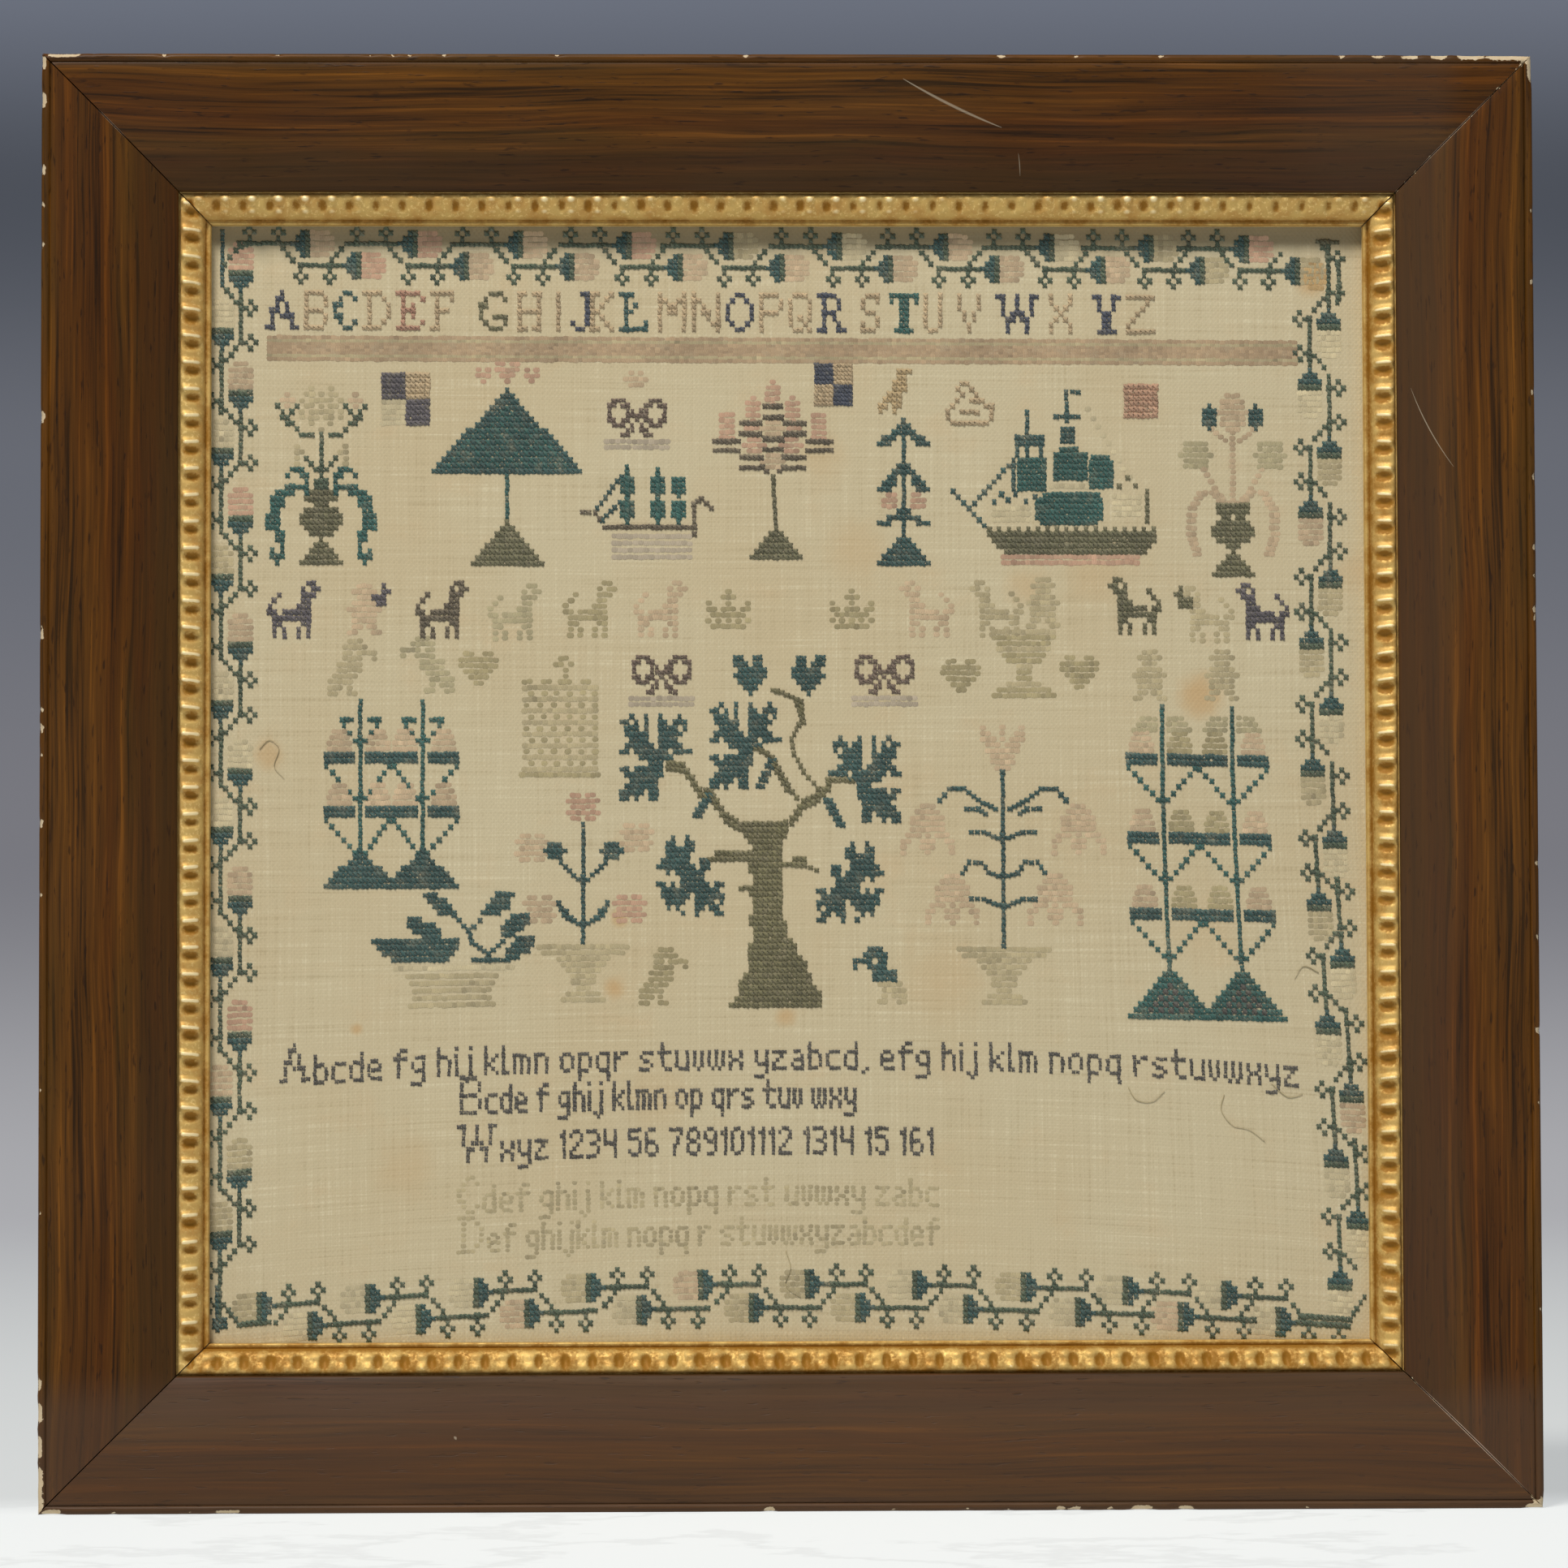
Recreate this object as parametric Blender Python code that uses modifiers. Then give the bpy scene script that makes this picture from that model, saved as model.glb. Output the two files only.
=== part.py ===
"""Cross stitch sampler in its frame: four mitred walnut mouldings, a gilt slip, the cloth and its backing board.

Metres, +Z up. The sampler stands on the flat underside of its bottom moulding and faces -Y. The origin is
the middle of that underside. A moulding's section is drawn in two directions: "inward", from the frame's
outer edge towards the cloth, and "rise", from the back of the frame towards the viewer.
"""

import math

import bmesh
import bpy

# Driving dimensions
WIDTH = 0.414
HEIGHT = 0.403
DEPTH = 0.027
GAP = 0.0003  # clearance between neighbouring pieces, and between the two faces of a mitre

# Walnut moulding
WOOD_FACE = 0.0371  # from the outer edge to the lip that overlaps the slip
BEAD_RADIUS = 0.0012  # small bead along the outer edge
BEAD_QUIRK = 0.0004  # how far the broad face starts below the top of the bead
BEAD_STEPS = 5  # 30 degrees each, so that one point is the very top
FACE_FALL = 0.0086  # how far the broad face falls on its way to the lip
FACE_CURVE = 1.8  # 1 is a straight slope, more makes the inner half steeper
FACE_STEPS = 10
LIP_HEIGHT = 0.0022
REBATE_WIDTH = 0.0040

# Backing board and cloth, laid in the rebate
BOARD_RECESS = 0.0025  # from the back of the frame to the back of the board
BOARD_THICKNESS = 0.0050
CLOTH_THICKNESS = 0.0010
CLOTH_RIPPLE = 0.0005  # greatest rise of the cloth's uneven surface
CLOTH_CELLS_X = 24
CLOTH_CELLS_Z = 22

# Gilt slip
SLIP_SIGHT = 0.0087  # width that shows beside the moulding
SLIP_FILLET = 0.0014  # smooth flat along the sight edge
SLIP_EDGE_HEIGHT = 0.0034
SLIP_CREST = 0.0024  # height of the rounded band above its own two sides
SLIP_STEPS = 8

# Levels above the back of the frame
BOARD_FRONT = BOARD_RECESS + BOARD_THICKNESS
CLOTH_FRONT = BOARD_FRONT + GAP + CLOTH_THICKNESS
SLIP_BACK = CLOTH_FRONT + GAP
FACE_START = DEPTH - BEAD_QUIRK
LIP_TOP = FACE_START - FACE_FALL
LIP_UNDERSIDE = LIP_TOP - LIP_HEIGHT

REBATE_EDGE = WOOD_FACE - REBATE_WIDTH
INSERT_EDGE = REBATE_EDGE + GAP
SIGHT_EDGE = WOOD_FACE + SLIP_SIGHT

# name, turn about Y in degrees, and the middle of the outer edge as shares of the width and the height
SIDES = (
    ("bottom", 0, 0.0, 0.0),
    ("right", -90, 0.5, 0.5),
    ("top", 180, 0.0, 1.0),
    ("left", 90, -0.5, 0.5),
)


def clear_scene():
    for obj in list(bpy.data.objects):
        bpy.data.objects.remove(obj, do_unlink=True)


def material(name, colour, roughness, metallic=0.0):
    made = bpy.data.materials.new(name)
    made.use_nodes = True
    shader = made.node_tree.nodes["Principled BSDF"]
    shader.inputs["Base Color"].default_value = (*colour, 1.0)
    shader.inputs["Roughness"].default_value = roughness
    shader.inputs["Metallic"].default_value = metallic
    return made


def new_object(name, bm, collection, finish):
    bmesh.ops.recalc_face_normals(bm, faces=bm.faces)
    mesh = bpy.data.meshes.new(name)
    bm.to_mesh(mesh)
    bm.free()
    mesh.materials.append(finish)
    mesh.shade_smooth()
    mesh.set_sharp_from_angle(angle=math.radians(35))
    obj = bpy.data.objects.new(name, mesh)
    collection.objects.link(obj)
    return obj


def arc(centre_inward, centre_rise, radius, start, end, steps):
    """Points of an arc in the section, with its angles in degrees from the inward direction."""
    points = []
    for step in range(steps + 1):
        angle = math.radians(start + (end - start) * step / steps)
        points.append((centre_inward + radius * math.cos(angle), centre_rise + radius * math.sin(angle)))
    return points


def walnut_section():
    """Back, outer side, bead, broad rounded face, lip and rebate, as (inward, rise) points."""
    bead = arc(BEAD_RADIUS, DEPTH - BEAD_RADIUS, BEAD_RADIUS, 180, 30, BEAD_STEPS)
    face_from = 2 * BEAD_RADIUS
    face_width = WOOD_FACE - face_from
    face = []
    for step in range(FACE_STEPS + 1):
        share = step / FACE_STEPS
        face.append((face_from + face_width * share, FACE_START - FACE_FALL * share**FACE_CURVE))
    rebate = [(WOOD_FACE, LIP_UNDERSIDE), (REBATE_EDGE, LIP_UNDERSIDE), (REBATE_EDGE, 0.0)]
    return [(0.0, 0.0), *bead, *face, *rebate]


def slip_section():
    """Tongue under the moulding's lip, rounded band, and the flat fillet along the sight edge."""
    tongue_top = LIP_UNDERSIDE - GAP
    band_from = WOOD_FACE + GAP
    band_to = SIGHT_EDGE - SLIP_FILLET
    fillet_top = SLIP_BACK + SLIP_EDGE_HEIGHT
    band = []
    for step in range(SLIP_STEPS + 1):
        share = step / SLIP_STEPS
        side = tongue_top + (fillet_top - tongue_top) * share
        band.append((band_from + (band_to - band_from) * share, side + SLIP_CREST * math.sin(math.pi * share)))
    return [
        (INSERT_EDGE, SLIP_BACK),
        (INSERT_EDGE, tongue_top),
        *band,
        (SIGHT_EDGE, fillet_top),
        (SIGHT_EDGE, SLIP_BACK),
    ]


def mitred_length(name, section, length, collection, finish):
    """Extrudes a section along X and cuts both ends to 45 degrees, leaving half the gap at each mitre."""
    bm = bmesh.new()
    corners = [bm.verts.new((-length / 2, DEPTH / 2 - rise, inward)) for inward, rise in section]
    end = bm.faces.new(corners)
    grown = bmesh.ops.extrude_face_region(bm, geom=[end])
    far_end = [item for item in grown["geom"] if isinstance(item, bmesh.types.BMVert)]
    bmesh.ops.translate(bm, verts=far_end, vec=(length, 0.0, 0.0))
    half_gap = GAP / 2 * math.sqrt(2)
    for vert in bm.verts:
        vert.co.x -= math.copysign(vert.co.z + half_gap, vert.co.x)
    return new_object(name, bm, collection, finish)


def add_mouldings(prefix, section, collection, finish):
    for side, turn, share_x, share_z in SIDES:
        length = WIDTH if turn % 180 == 0 else HEIGHT
        obj = mitred_length(f"{prefix}_{side}", section, length, collection, finish)
        obj.location = (share_x * WIDTH, 0.0, share_z * HEIGHT)
        obj.rotation_euler = (0.0, math.radians(turn), 0.0)


def cloth_rise(share_x, share_z):
    """Uneven rise of the cloth from 0 to CLOTH_RIPPLE, with shares from 0 to 1; it fades out at the edges."""
    fade = math.sin(math.pi * share_x) * math.sin(math.pi * share_z)
    broad = math.sin(2 * math.pi * (1.3 * share_x + 0.4 * share_z))
    narrow = math.sin(2 * math.pi * (2.1 * share_z - 0.7 * share_x))
    return CLOTH_RIPPLE * math.sqrt(max(fade, 0.0)) * (0.5 + 0.3 * broad + 0.2 * narrow)


def add_cloth(collection, finish):
    wide = WIDTH - 2 * INSERT_EDGE
    high = HEIGHT - 2 * INSERT_EDGE
    bm = bmesh.new()
    bmesh.ops.create_grid(bm, x_segments=CLOTH_CELLS_X, y_segments=CLOTH_CELLS_Z, size=0.5)
    for vert in bm.verts:
        across, up, _ = vert.co
        rise = CLOTH_FRONT + cloth_rise(across + 0.5, up + 0.5)
        vert.co = (across * wide, DEPTH / 2 - rise, HEIGHT / 2 + up * high)
    obj = new_object("sampler_cloth", bm, collection, finish)
    front_normal = obj.data.polygons[0].normal.y
    solid = obj.modifiers.new("Thickness", "SOLIDIFY")
    solid.thickness = CLOTH_THICKNESS
    solid.offset = -1.0 if front_normal < 0 else 1.0


def add_board(collection, finish):
    wide = WIDTH - 2 * INSERT_EDGE
    high = HEIGHT - 2 * INSERT_EDGE
    bm = bmesh.new()
    bmesh.ops.create_cube(bm, size=1.0)
    bmesh.ops.scale(bm, verts=bm.verts, vec=(wide, BOARD_THICKNESS, high))
    middle_rise = BOARD_RECESS + BOARD_THICKNESS / 2
    bmesh.ops.translate(bm, verts=bm.verts, vec=(0.0, DEPTH / 2 - middle_rise, HEIGHT / 2))
    new_object("backing_board", bm, collection, finish)


def main():
    clear_scene()
    collection = bpy.data.collections.new("framed_sampler")
    bpy.context.scene.collection.children.link(collection)
    walnut = material("walnut", (0.075, 0.036, 0.016), 0.42)
    gilt = material("gilt", (0.62, 0.40, 0.10), 0.38, metallic=0.9)
    linen = material("linen", (0.56, 0.47, 0.30), 0.92)
    pine = material("aged_pine", (0.30, 0.18, 0.09), 0.75)
    add_mouldings("frame", walnut_section(), collection, walnut)
    add_mouldings("slip", slip_section(), collection, gilt)
    add_cloth(collection, linen)
    add_board(collection, pine)


main()
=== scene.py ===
import math
import random

import bmesh
import bpy
import numpy as np
from bpy.props import FloatProperty, FloatVectorProperty, IntProperty, PointerProperty
from mathutils import Matrix, Vector


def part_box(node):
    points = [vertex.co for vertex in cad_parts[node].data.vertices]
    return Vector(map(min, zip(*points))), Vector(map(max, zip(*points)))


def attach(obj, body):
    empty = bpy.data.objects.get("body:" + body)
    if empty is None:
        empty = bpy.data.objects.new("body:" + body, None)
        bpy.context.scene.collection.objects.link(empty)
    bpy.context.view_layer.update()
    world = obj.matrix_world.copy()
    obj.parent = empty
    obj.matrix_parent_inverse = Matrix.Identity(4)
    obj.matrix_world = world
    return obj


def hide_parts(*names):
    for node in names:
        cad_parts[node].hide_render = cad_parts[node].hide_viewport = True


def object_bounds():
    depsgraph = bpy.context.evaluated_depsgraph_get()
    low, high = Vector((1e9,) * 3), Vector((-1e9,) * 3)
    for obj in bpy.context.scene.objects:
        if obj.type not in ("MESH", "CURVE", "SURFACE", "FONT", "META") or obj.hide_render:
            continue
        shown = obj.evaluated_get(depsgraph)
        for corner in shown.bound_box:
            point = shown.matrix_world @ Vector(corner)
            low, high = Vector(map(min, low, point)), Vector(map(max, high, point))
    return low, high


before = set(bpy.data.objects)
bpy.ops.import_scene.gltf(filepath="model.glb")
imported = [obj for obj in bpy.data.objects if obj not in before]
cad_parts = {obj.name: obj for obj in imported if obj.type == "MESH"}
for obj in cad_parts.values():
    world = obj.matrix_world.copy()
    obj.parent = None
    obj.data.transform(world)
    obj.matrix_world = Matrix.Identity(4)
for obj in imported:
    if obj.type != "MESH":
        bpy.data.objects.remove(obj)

bl_info = {
    "name": "Framed cross stitch sampler",
    "version": (1, 0, 0),
    "blender": (4, 5, 0),
    "location": "View3D > Sidebar > Sampler",
    "description": "Walnut frame, gilt slip, linen ground and its counted stitches",
    "category": "Object",
}

CAD_LOW, CAD_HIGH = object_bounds()

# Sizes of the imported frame, metres
WIDTH = CAD_HIGH.x - CAD_LOW.x
DEPTH = CAD_HIGH.y - CAD_LOW.y
HEIGHT = CAD_HIGH.z - CAD_LOW.z
WOOD_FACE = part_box("frame_bottom")[1].z
INSERT_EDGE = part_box("slip_bottom")[0].z
SIGHT_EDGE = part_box("slip_bottom")[1].z
CLOTH_LOW, CLOTH_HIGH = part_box("sampler_cloth")
SLIP_RISE = DEPTH / 2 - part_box("slip_bottom")[1].y  # back of the slip above the back of the frame

# Counted threads that show in the opening
COLUMNS = 238.0
ROWS = 191.4
SIGHT_LEFT = -WIDTH / 2 + SIGHT_EDGE
SIGHT_TOP = HEIGHT - SIGHT_EDGE
COLUMN = (WIDTH - 2 * SIGHT_EDGE) / COLUMNS
ROW = (HEIGHT - 2 * SIGHT_EDGE) / ROWS

# turn about Y in degrees, and the middle of the outer edge as shares of the width and the height
SIDES = {
    "bottom": (0, 0.0, 0.0),
    "right": (-90, 0.5, 0.5),
    "top": (180, 0.0, 1.0),
    "left": (90, -0.5, 0.5),
}


def side_length(side):
    """Outer length of one side of the frame."""
    return WIDTH if side in ("top", "bottom") else HEIGHT


def tone(red, green, blue):
    """A colour given as 0 to 255 on a screen, as linear light."""
    shares = (red / 255, green / 255, blue / 255)
    return tuple(s / 12.92 if s <= 0.04045 else ((s + 0.055) / 1.055) ** 2.4 for s in shares)


def eased(share):
    """0 to 1 with soft ends, for numbers or arrays."""
    share = np.clip(share, 0.0, 1.0)
    return share * share * (3 - 2 * share)


# Key: name, screen colour, and the stitch it is worked in
DYES = {
    "t": ("Teal", (52, 93, 87), "cross"),
    "d": ("Deep teal", (56, 85, 82), "cross"),
    "n": ("Navy", (72, 77, 90), "cross"),
    "v": ("Plum navy", (93, 88, 92), "cross"),
    "s": ("Vine green", (78, 92, 74), "cross"),
    "k": ("Olive black", (105, 102, 76), "cross"),
    "o": ("Moss", (128, 124, 88), "cross"),
    "u": ("Bark", (112, 107, 76), "cross"),
    "q": ("Slate", (86, 83, 78), "cross"),
    "m": ("Mulberry brown", (110, 94, 82), "cross"),
    "c": ("Brown", (102, 92, 76), "cross"),
    "a": ("Tan", (172, 150, 112), "cross"),
    "e": ("Fawn", (184, 162, 128), "cross"),
    "r": ("Brick", (180, 142, 116), "cross"),
    "i": ("Madder", (176, 134, 112), "cross"),
    "p": ("Faded pink", (188, 164, 132), "bar"),
    "x": ("Bright pink", (184, 148, 122), "bar"),
    "l": ("Lilac", (174, 160, 138), "bar"),
    "b": ("Band rose", (170, 145, 114), "bar"),
    "g": ("Ghost tan", (174, 160, 124), "bar"),
    "h": ("Ghost olive", (162, 149, 111), "bar"),
    "f": ("Ghost green", (168, 157, 122), "bar"),
    "w": ("Bleached", (196, 182, 146), "bar"),
    "y": ("Straw", (190, 158, 108), "bar"),
}


def colour_setting(name, description, *shade):
    return FloatVectorProperty(name=name, description=description, subtype="COLOR", default=tone(*shade))


def length_setting(name, description, default):
    return FloatProperty(name=name, description=description, unit="LENGTH", default=default)


def count_setting(name, description, default, least):
    return IntProperty(name=name, description=description, default=default, min=least)


class SamplerFrameSettings(bpy.types.PropertyGroup):
    """Sizes and colours of the walnut moulding and its backing board."""

    dark_walnut: colour_setting("Dark walnut", "Darkest grain", 42, 25, 5)
    light_walnut: colour_setting("Light walnut", "Lightest grain", 122, 76, 22)
    gesso: colour_setting("Bare gesso", "Where the finish has chipped", 208, 194, 168)
    board: colour_setting("Board", "Aged pine of the backing", 150, 116, 76)
    chip_depth: length_setting("Chip depth", "Depth of the deepest chips", 0.0004)
    cuts: count_setting("Cuts", "Cuts along each moulding", 260, 20)


class SamplerSlipSettings(bpy.types.PropertyGroup):
    """Sizes and colours of the gilt slip."""

    gold: colour_setting("Gold", "Rubbed gilding", 208, 174, 104)
    bole: colour_setting("Bole", "Dirt in the hollows", 140, 92, 10)
    repeat: length_setting("Repeat", "Length of one ornament", 0.0074)
    relief: length_setting("Relief", "Height of the ornament's rim", 0.0012)
    steps: count_setting("Steps", "Cuts along one ornament", 20, 6)


class SamplerClothSettings(bpy.types.PropertyGroup):
    """Sizes and colours of the linen ground."""

    linen: colour_setting("Linen", "Clean cloth", 194, 181, 148)
    tea: colour_setting("Toning", "Age toning", 188, 168, 130)
    stain: colour_setting("Stain", "Water and rust marks", 186, 146, 92)
    thickness: length_setting("Thickness", "Thickness of the cloth", 0.0010)
    ripple: length_setting("Ripple", "Greatest rise of its surface", 0.0005)
    cells: count_setting("Cells", "Cells along each side of the mesh", 140, 20)


class SamplerThreadSettings(bpy.types.PropertyGroup):
    """Thickness of the threads, and the colour of each dye, which the loop below adds."""

    thickness: length_setting("Thread", "Width of a full thread", 0.00094)
    lift: length_setting("Lift", "Rise of a stitch at its middle", 0.00022)


for key, (name, shade, _) in DYES.items():
    SamplerThreadSettings.__annotations__["dye_" + key] = colour_setting(name, name + " thread", *shade)


class SamplerStageSettings(bpy.types.PropertyGroup):
    """Camera and light."""

    camera_place: FloatVectorProperty(
        name="Camera",
        description="Place of the camera",
        subtype="XYZ",
        unit="LENGTH",
        default=(-0.0374, -1.6, 0.126),
    )
    camera_turn: FloatVectorProperty(
        name="Turn",
        description="Pitch up, roll and yaw of the camera",
        subtype="EULER",
        unit="ROTATION",
        default=(math.radians(2.668), math.radians(0.155), math.radians(-1.282)),
    )
    lens: FloatProperty(name="Lens", description="Focal length in millimetres", default=132.12)
    key_power: FloatProperty(name="Key", description="Power of the soft light", default=16.8, unit="POWER")
    key_size: length_setting("Key size", "Side of the soft light", 0.7)
    sky: FloatProperty(name="Sky", description="Strength of the light from all round", default=0.09)


SETTINGS = {
    "sampler_frame": SamplerFrameSettings,
    "sampler_slip": SamplerSlipSettings,
    "sampler_cloth": SamplerClothSettings,
    "sampler_threads": SamplerThreadSettings,
    "sampler_stage": SamplerStageSettings,
}


# ---------------------------------------------------------------- shader helpers


def add_node(tree, kind, inputs=None, **settings):
    """A node with its settings, and its inputs given as values or as sockets to link."""
    node = tree.nodes.new(kind)
    for name, value in settings.items():
        setattr(node, name, value)
    for name, value in (inputs or {}).items():
        if isinstance(value, bpy.types.NodeSocket):
            tree.links.new(value, node.inputs[name])
        else:
            node.inputs[name].default_value = value
    return node


def maths(tree, operation, *values, clamp=False):
    inputs = dict(enumerate(values))
    return add_node(tree, "ShaderNodeMath", inputs, operation=operation, use_clamp=clamp).outputs[0]


def times(tree, first, second):
    return maths(tree, "MULTIPLY", first, second)


def plus(tree, first, second):
    return maths(tree, "ADD", first, second)


def minus(tree, first, second, clamp=False):
    return maths(tree, "SUBTRACT", first, second, clamp=clamp)


def vector_maths(tree, operation, *values):
    node = add_node(tree, "ShaderNodeVectorMath", dict(enumerate(values)), operation=operation)
    return node.outputs["Value" if operation in ("LENGTH", "DOT_PRODUCT", "DISTANCE") else "Vector"]


def mixed(tree, factor, first, second, blend="MIX"):
    """Two colours mixed. A plain colour is given as three numbers."""
    colours = [c if isinstance(c, bpy.types.NodeSocket) else (*c, 1.0) for c in (first, second)]
    inputs = {0: factor, 6: colours[0], 7: colours[1]}
    node = add_node(tree, "ShaderNodeMix", inputs, data_type="RGBA", blend_type=blend)
    return node.outputs[2]


def ramped(tree, value, low, high, to_low=0.0, to_high=1.0):
    """value brought smoothly from low..high to to_low..to_high."""
    inputs = {"Value": value, "From Min": low, "From Max": high, "To Min": to_low, "To Max": to_high}
    node = add_node(tree, "ShaderNodeMapRange", inputs, interpolation_type="SMOOTHSTEP")
    return node.outputs["Result"]


def noise(tree, vector, scale, detail=2.0, roughness=0.5):
    inputs = {"Vector": vector, "Scale": scale, "Detail": detail, "Roughness": roughness}
    return add_node(tree, "ShaderNodeTexNoise", inputs).outputs["Fac"]


def stretched(tree, vector, scale):
    return vector_maths(tree, "MULTIPLY", vector, scale)


def scaled(tree, vector, factor):
    inputs = {0: vector, "Scale": factor}
    return add_node(tree, "ShaderNodeVectorMath", inputs, operation="SCALE").outputs[0]


def parts_of(tree, vector):
    """The X, Y and Z of a vector."""
    return add_node(tree, "ShaderNodeSeparateXYZ", {"Vector": vector}).outputs


def object_place(tree):
    return add_node(tree, "ShaderNodeTexCoord").outputs["Object"]


def attribute(tree, name, output="Vector"):
    """A value that the mesh keeps at each of its points."""
    settings = {"attribute_name": name, "attribute_type": "GEOMETRY"}
    return add_node(tree, "ShaderNodeAttribute", **settings).outputs[output]


def new_group(name, inputs, outputs):
    """An empty node group with its sockets, and its input and output nodes."""
    tree = bpy.data.node_groups.new(name, "ShaderNodeTree")
    for socket, kind, default in inputs:
        made = tree.interface.new_socket(socket, in_out="INPUT", socket_type="NodeSocket" + kind)
        made.default_value = default
    for socket, kind in outputs:
        tree.interface.new_socket(socket, in_out="OUTPUT", socket_type="NodeSocket" + kind)
    return tree, tree.nodes.new("NodeGroupInput").outputs, tree.nodes.new("NodeGroupOutput").inputs


def placed(tree, group, inputs):
    return add_node(tree, "ShaderNodeGroup", inputs, node_tree=group).outputs


def new_material(name, roughness=0.5, **constants):
    """A Principled material, as (material, node tree, shader)."""
    made = bpy.data.materials.new(name)
    made.use_nodes = True
    shader = made.node_tree.nodes["Principled BSDF"]
    shader.inputs["Roughness"].default_value = roughness
    for socket, value in constants.items():
        shader.inputs[socket.replace("_", " ")].default_value = value
    return made, made.node_tree, shader


def bumped(tree, shader, height, strength, distance):
    bump = add_node(tree, "ShaderNodeBump", {"Height": height, "Strength": strength, "Distance": distance})
    tree.links.new(bump.outputs["Normal"], shader.inputs["Normal"])


# ---------------------------------------------------------------- shared effects


def wood_grain_group():
    """Streaks and pores along X of the given run, with widths across it."""
    inputs = [("Run", "Vector", (0, 0, 0)), ("Along", "Float", 5.0), ("Across", "Float", 260.0)]
    outputs = [("Streaks", "Float"), ("Pores", "Float"), ("Broad", "Float")]
    tree, given, out = new_group("wood_grain", inputs, outputs)
    drift = noise(tree, stretched(tree, given["Run"], (9.0, 30.0, 30.0)), 1.0)
    bent = add_node(tree, "ShaderNodeCombineXYZ", {"Y": times(tree, drift, 0.006)}).outputs[0]
    run = vector_maths(tree, "ADD", given["Run"], bent)
    along, across = given["Along"], given["Across"]
    scale = add_node(tree, "ShaderNodeCombineXYZ", {"X": along, "Y": across, "Z": across}).outputs[0]
    fine = noise(tree, stretched(tree, run, scale), 1.0, 5.0, 0.65)
    finer = noise(tree, stretched(tree, run, (30.0, 1500.0, 1500.0)), 1.0, 2.0, 0.5)
    streaks = plus(tree, times(tree, fine, 0.72), times(tree, finer, 0.28))
    broad = noise(tree, stretched(tree, run, (3.0, 70.0, 70.0)), 1.0, 2.0)
    pores = noise(tree, stretched(tree, run, (170.0, 1100.0, 1100.0)), 1.0, 1.0)
    tree.links.new(streaks, out["Streaks"])
    tree.links.new(ramped(tree, pores, 0.66, 0.76), out["Pores"])
    tree.links.new(broad, out["Broad"])
    return tree


def chipping_group():
    """Sharp-edged patches where a soft wear value is high."""
    inputs = [("Place", "Vector", (0, 0, 0)), ("Wear", "Float", 0.0), ("Grain", "Float", 900.0)]
    tree, given, out = new_group("chipping", inputs, [("Mask", "Float")])
    rough = noise(tree, given["Place"], given["Grain"], 3.0, 0.6)
    total = plus(tree, given["Wear"], times(tree, minus(tree, rough, 0.5), 0.9))
    tree.links.new(ramped(tree, total, 0.46, 0.54), out["Mask"])
    return tree


def scratch_group():
    """A hairline from Start to End on the XZ plane, bowed sideways by Bow."""
    points = [("Place", "Vector", (0, 0, 0)), ("Start", "Vector", (0, 0, 0)), ("End", "Vector", (0, 0, 1))]
    inputs = [*points, ("Bow", "Vector", (0, 0, 0)), ("Half Width", "Float", 0.0002)]
    tree, given, out = new_group("hairline_scratch", inputs, [("Mask", "Float")])
    flat = stretched(tree, given["Place"], (1.0, 0.0, 1.0))
    from_start = vector_maths(tree, "SUBTRACT", flat, given["Start"])
    way = vector_maths(tree, "SUBTRACT", given["End"], given["Start"])
    reached = vector_maths(tree, "DOT_PRODUCT", from_start, way)
    share = maths(tree, "DIVIDE", reached, vector_maths(tree, "DOT_PRODUCT", way, way), clamp=True)
    hump = times(tree, times(tree, share, minus(tree, 1.0, share)), 4.0)
    line = vector_maths(tree, "ADD", scaled(tree, way, share), scaled(tree, given["Bow"], hump))
    away = vector_maths(tree, "DISTANCE", from_start, line)
    taper = times(tree, given["Half Width"], plus(tree, hump, 0.25))
    tree.links.new(ramped(tree, maths(tree, "DIVIDE", away, taper), 1.3, 0.5), out["Mask"])
    return tree


def spot_group():
    """A ragged round mark on the XZ plane, strongest at its centre."""
    inputs = [("Place", "Vector", (0, 0, 0)), ("Centre", "Vector", (0, 0, 0)), ("Radius", "Float", 0.01)]
    tree, given, out = new_group("ragged_spot", [*inputs, ("Strength", "Float", 0.5)], [("Mask", "Float")])
    flat = stretched(tree, given["Place"], (1.0, 0.0, 1.0))
    away = maths(tree, "DIVIDE", vector_maths(tree, "DISTANCE", flat, given["Centre"]), given["Radius"])
    torn = plus(tree, away, times(tree, noise(tree, flat, 160.0, 4.0, 0.6), 0.9))
    tree.links.new(times(tree, ramped(tree, torn, 1.5, 0.6), given["Strength"]), out["Mask"])
    return tree


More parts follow.
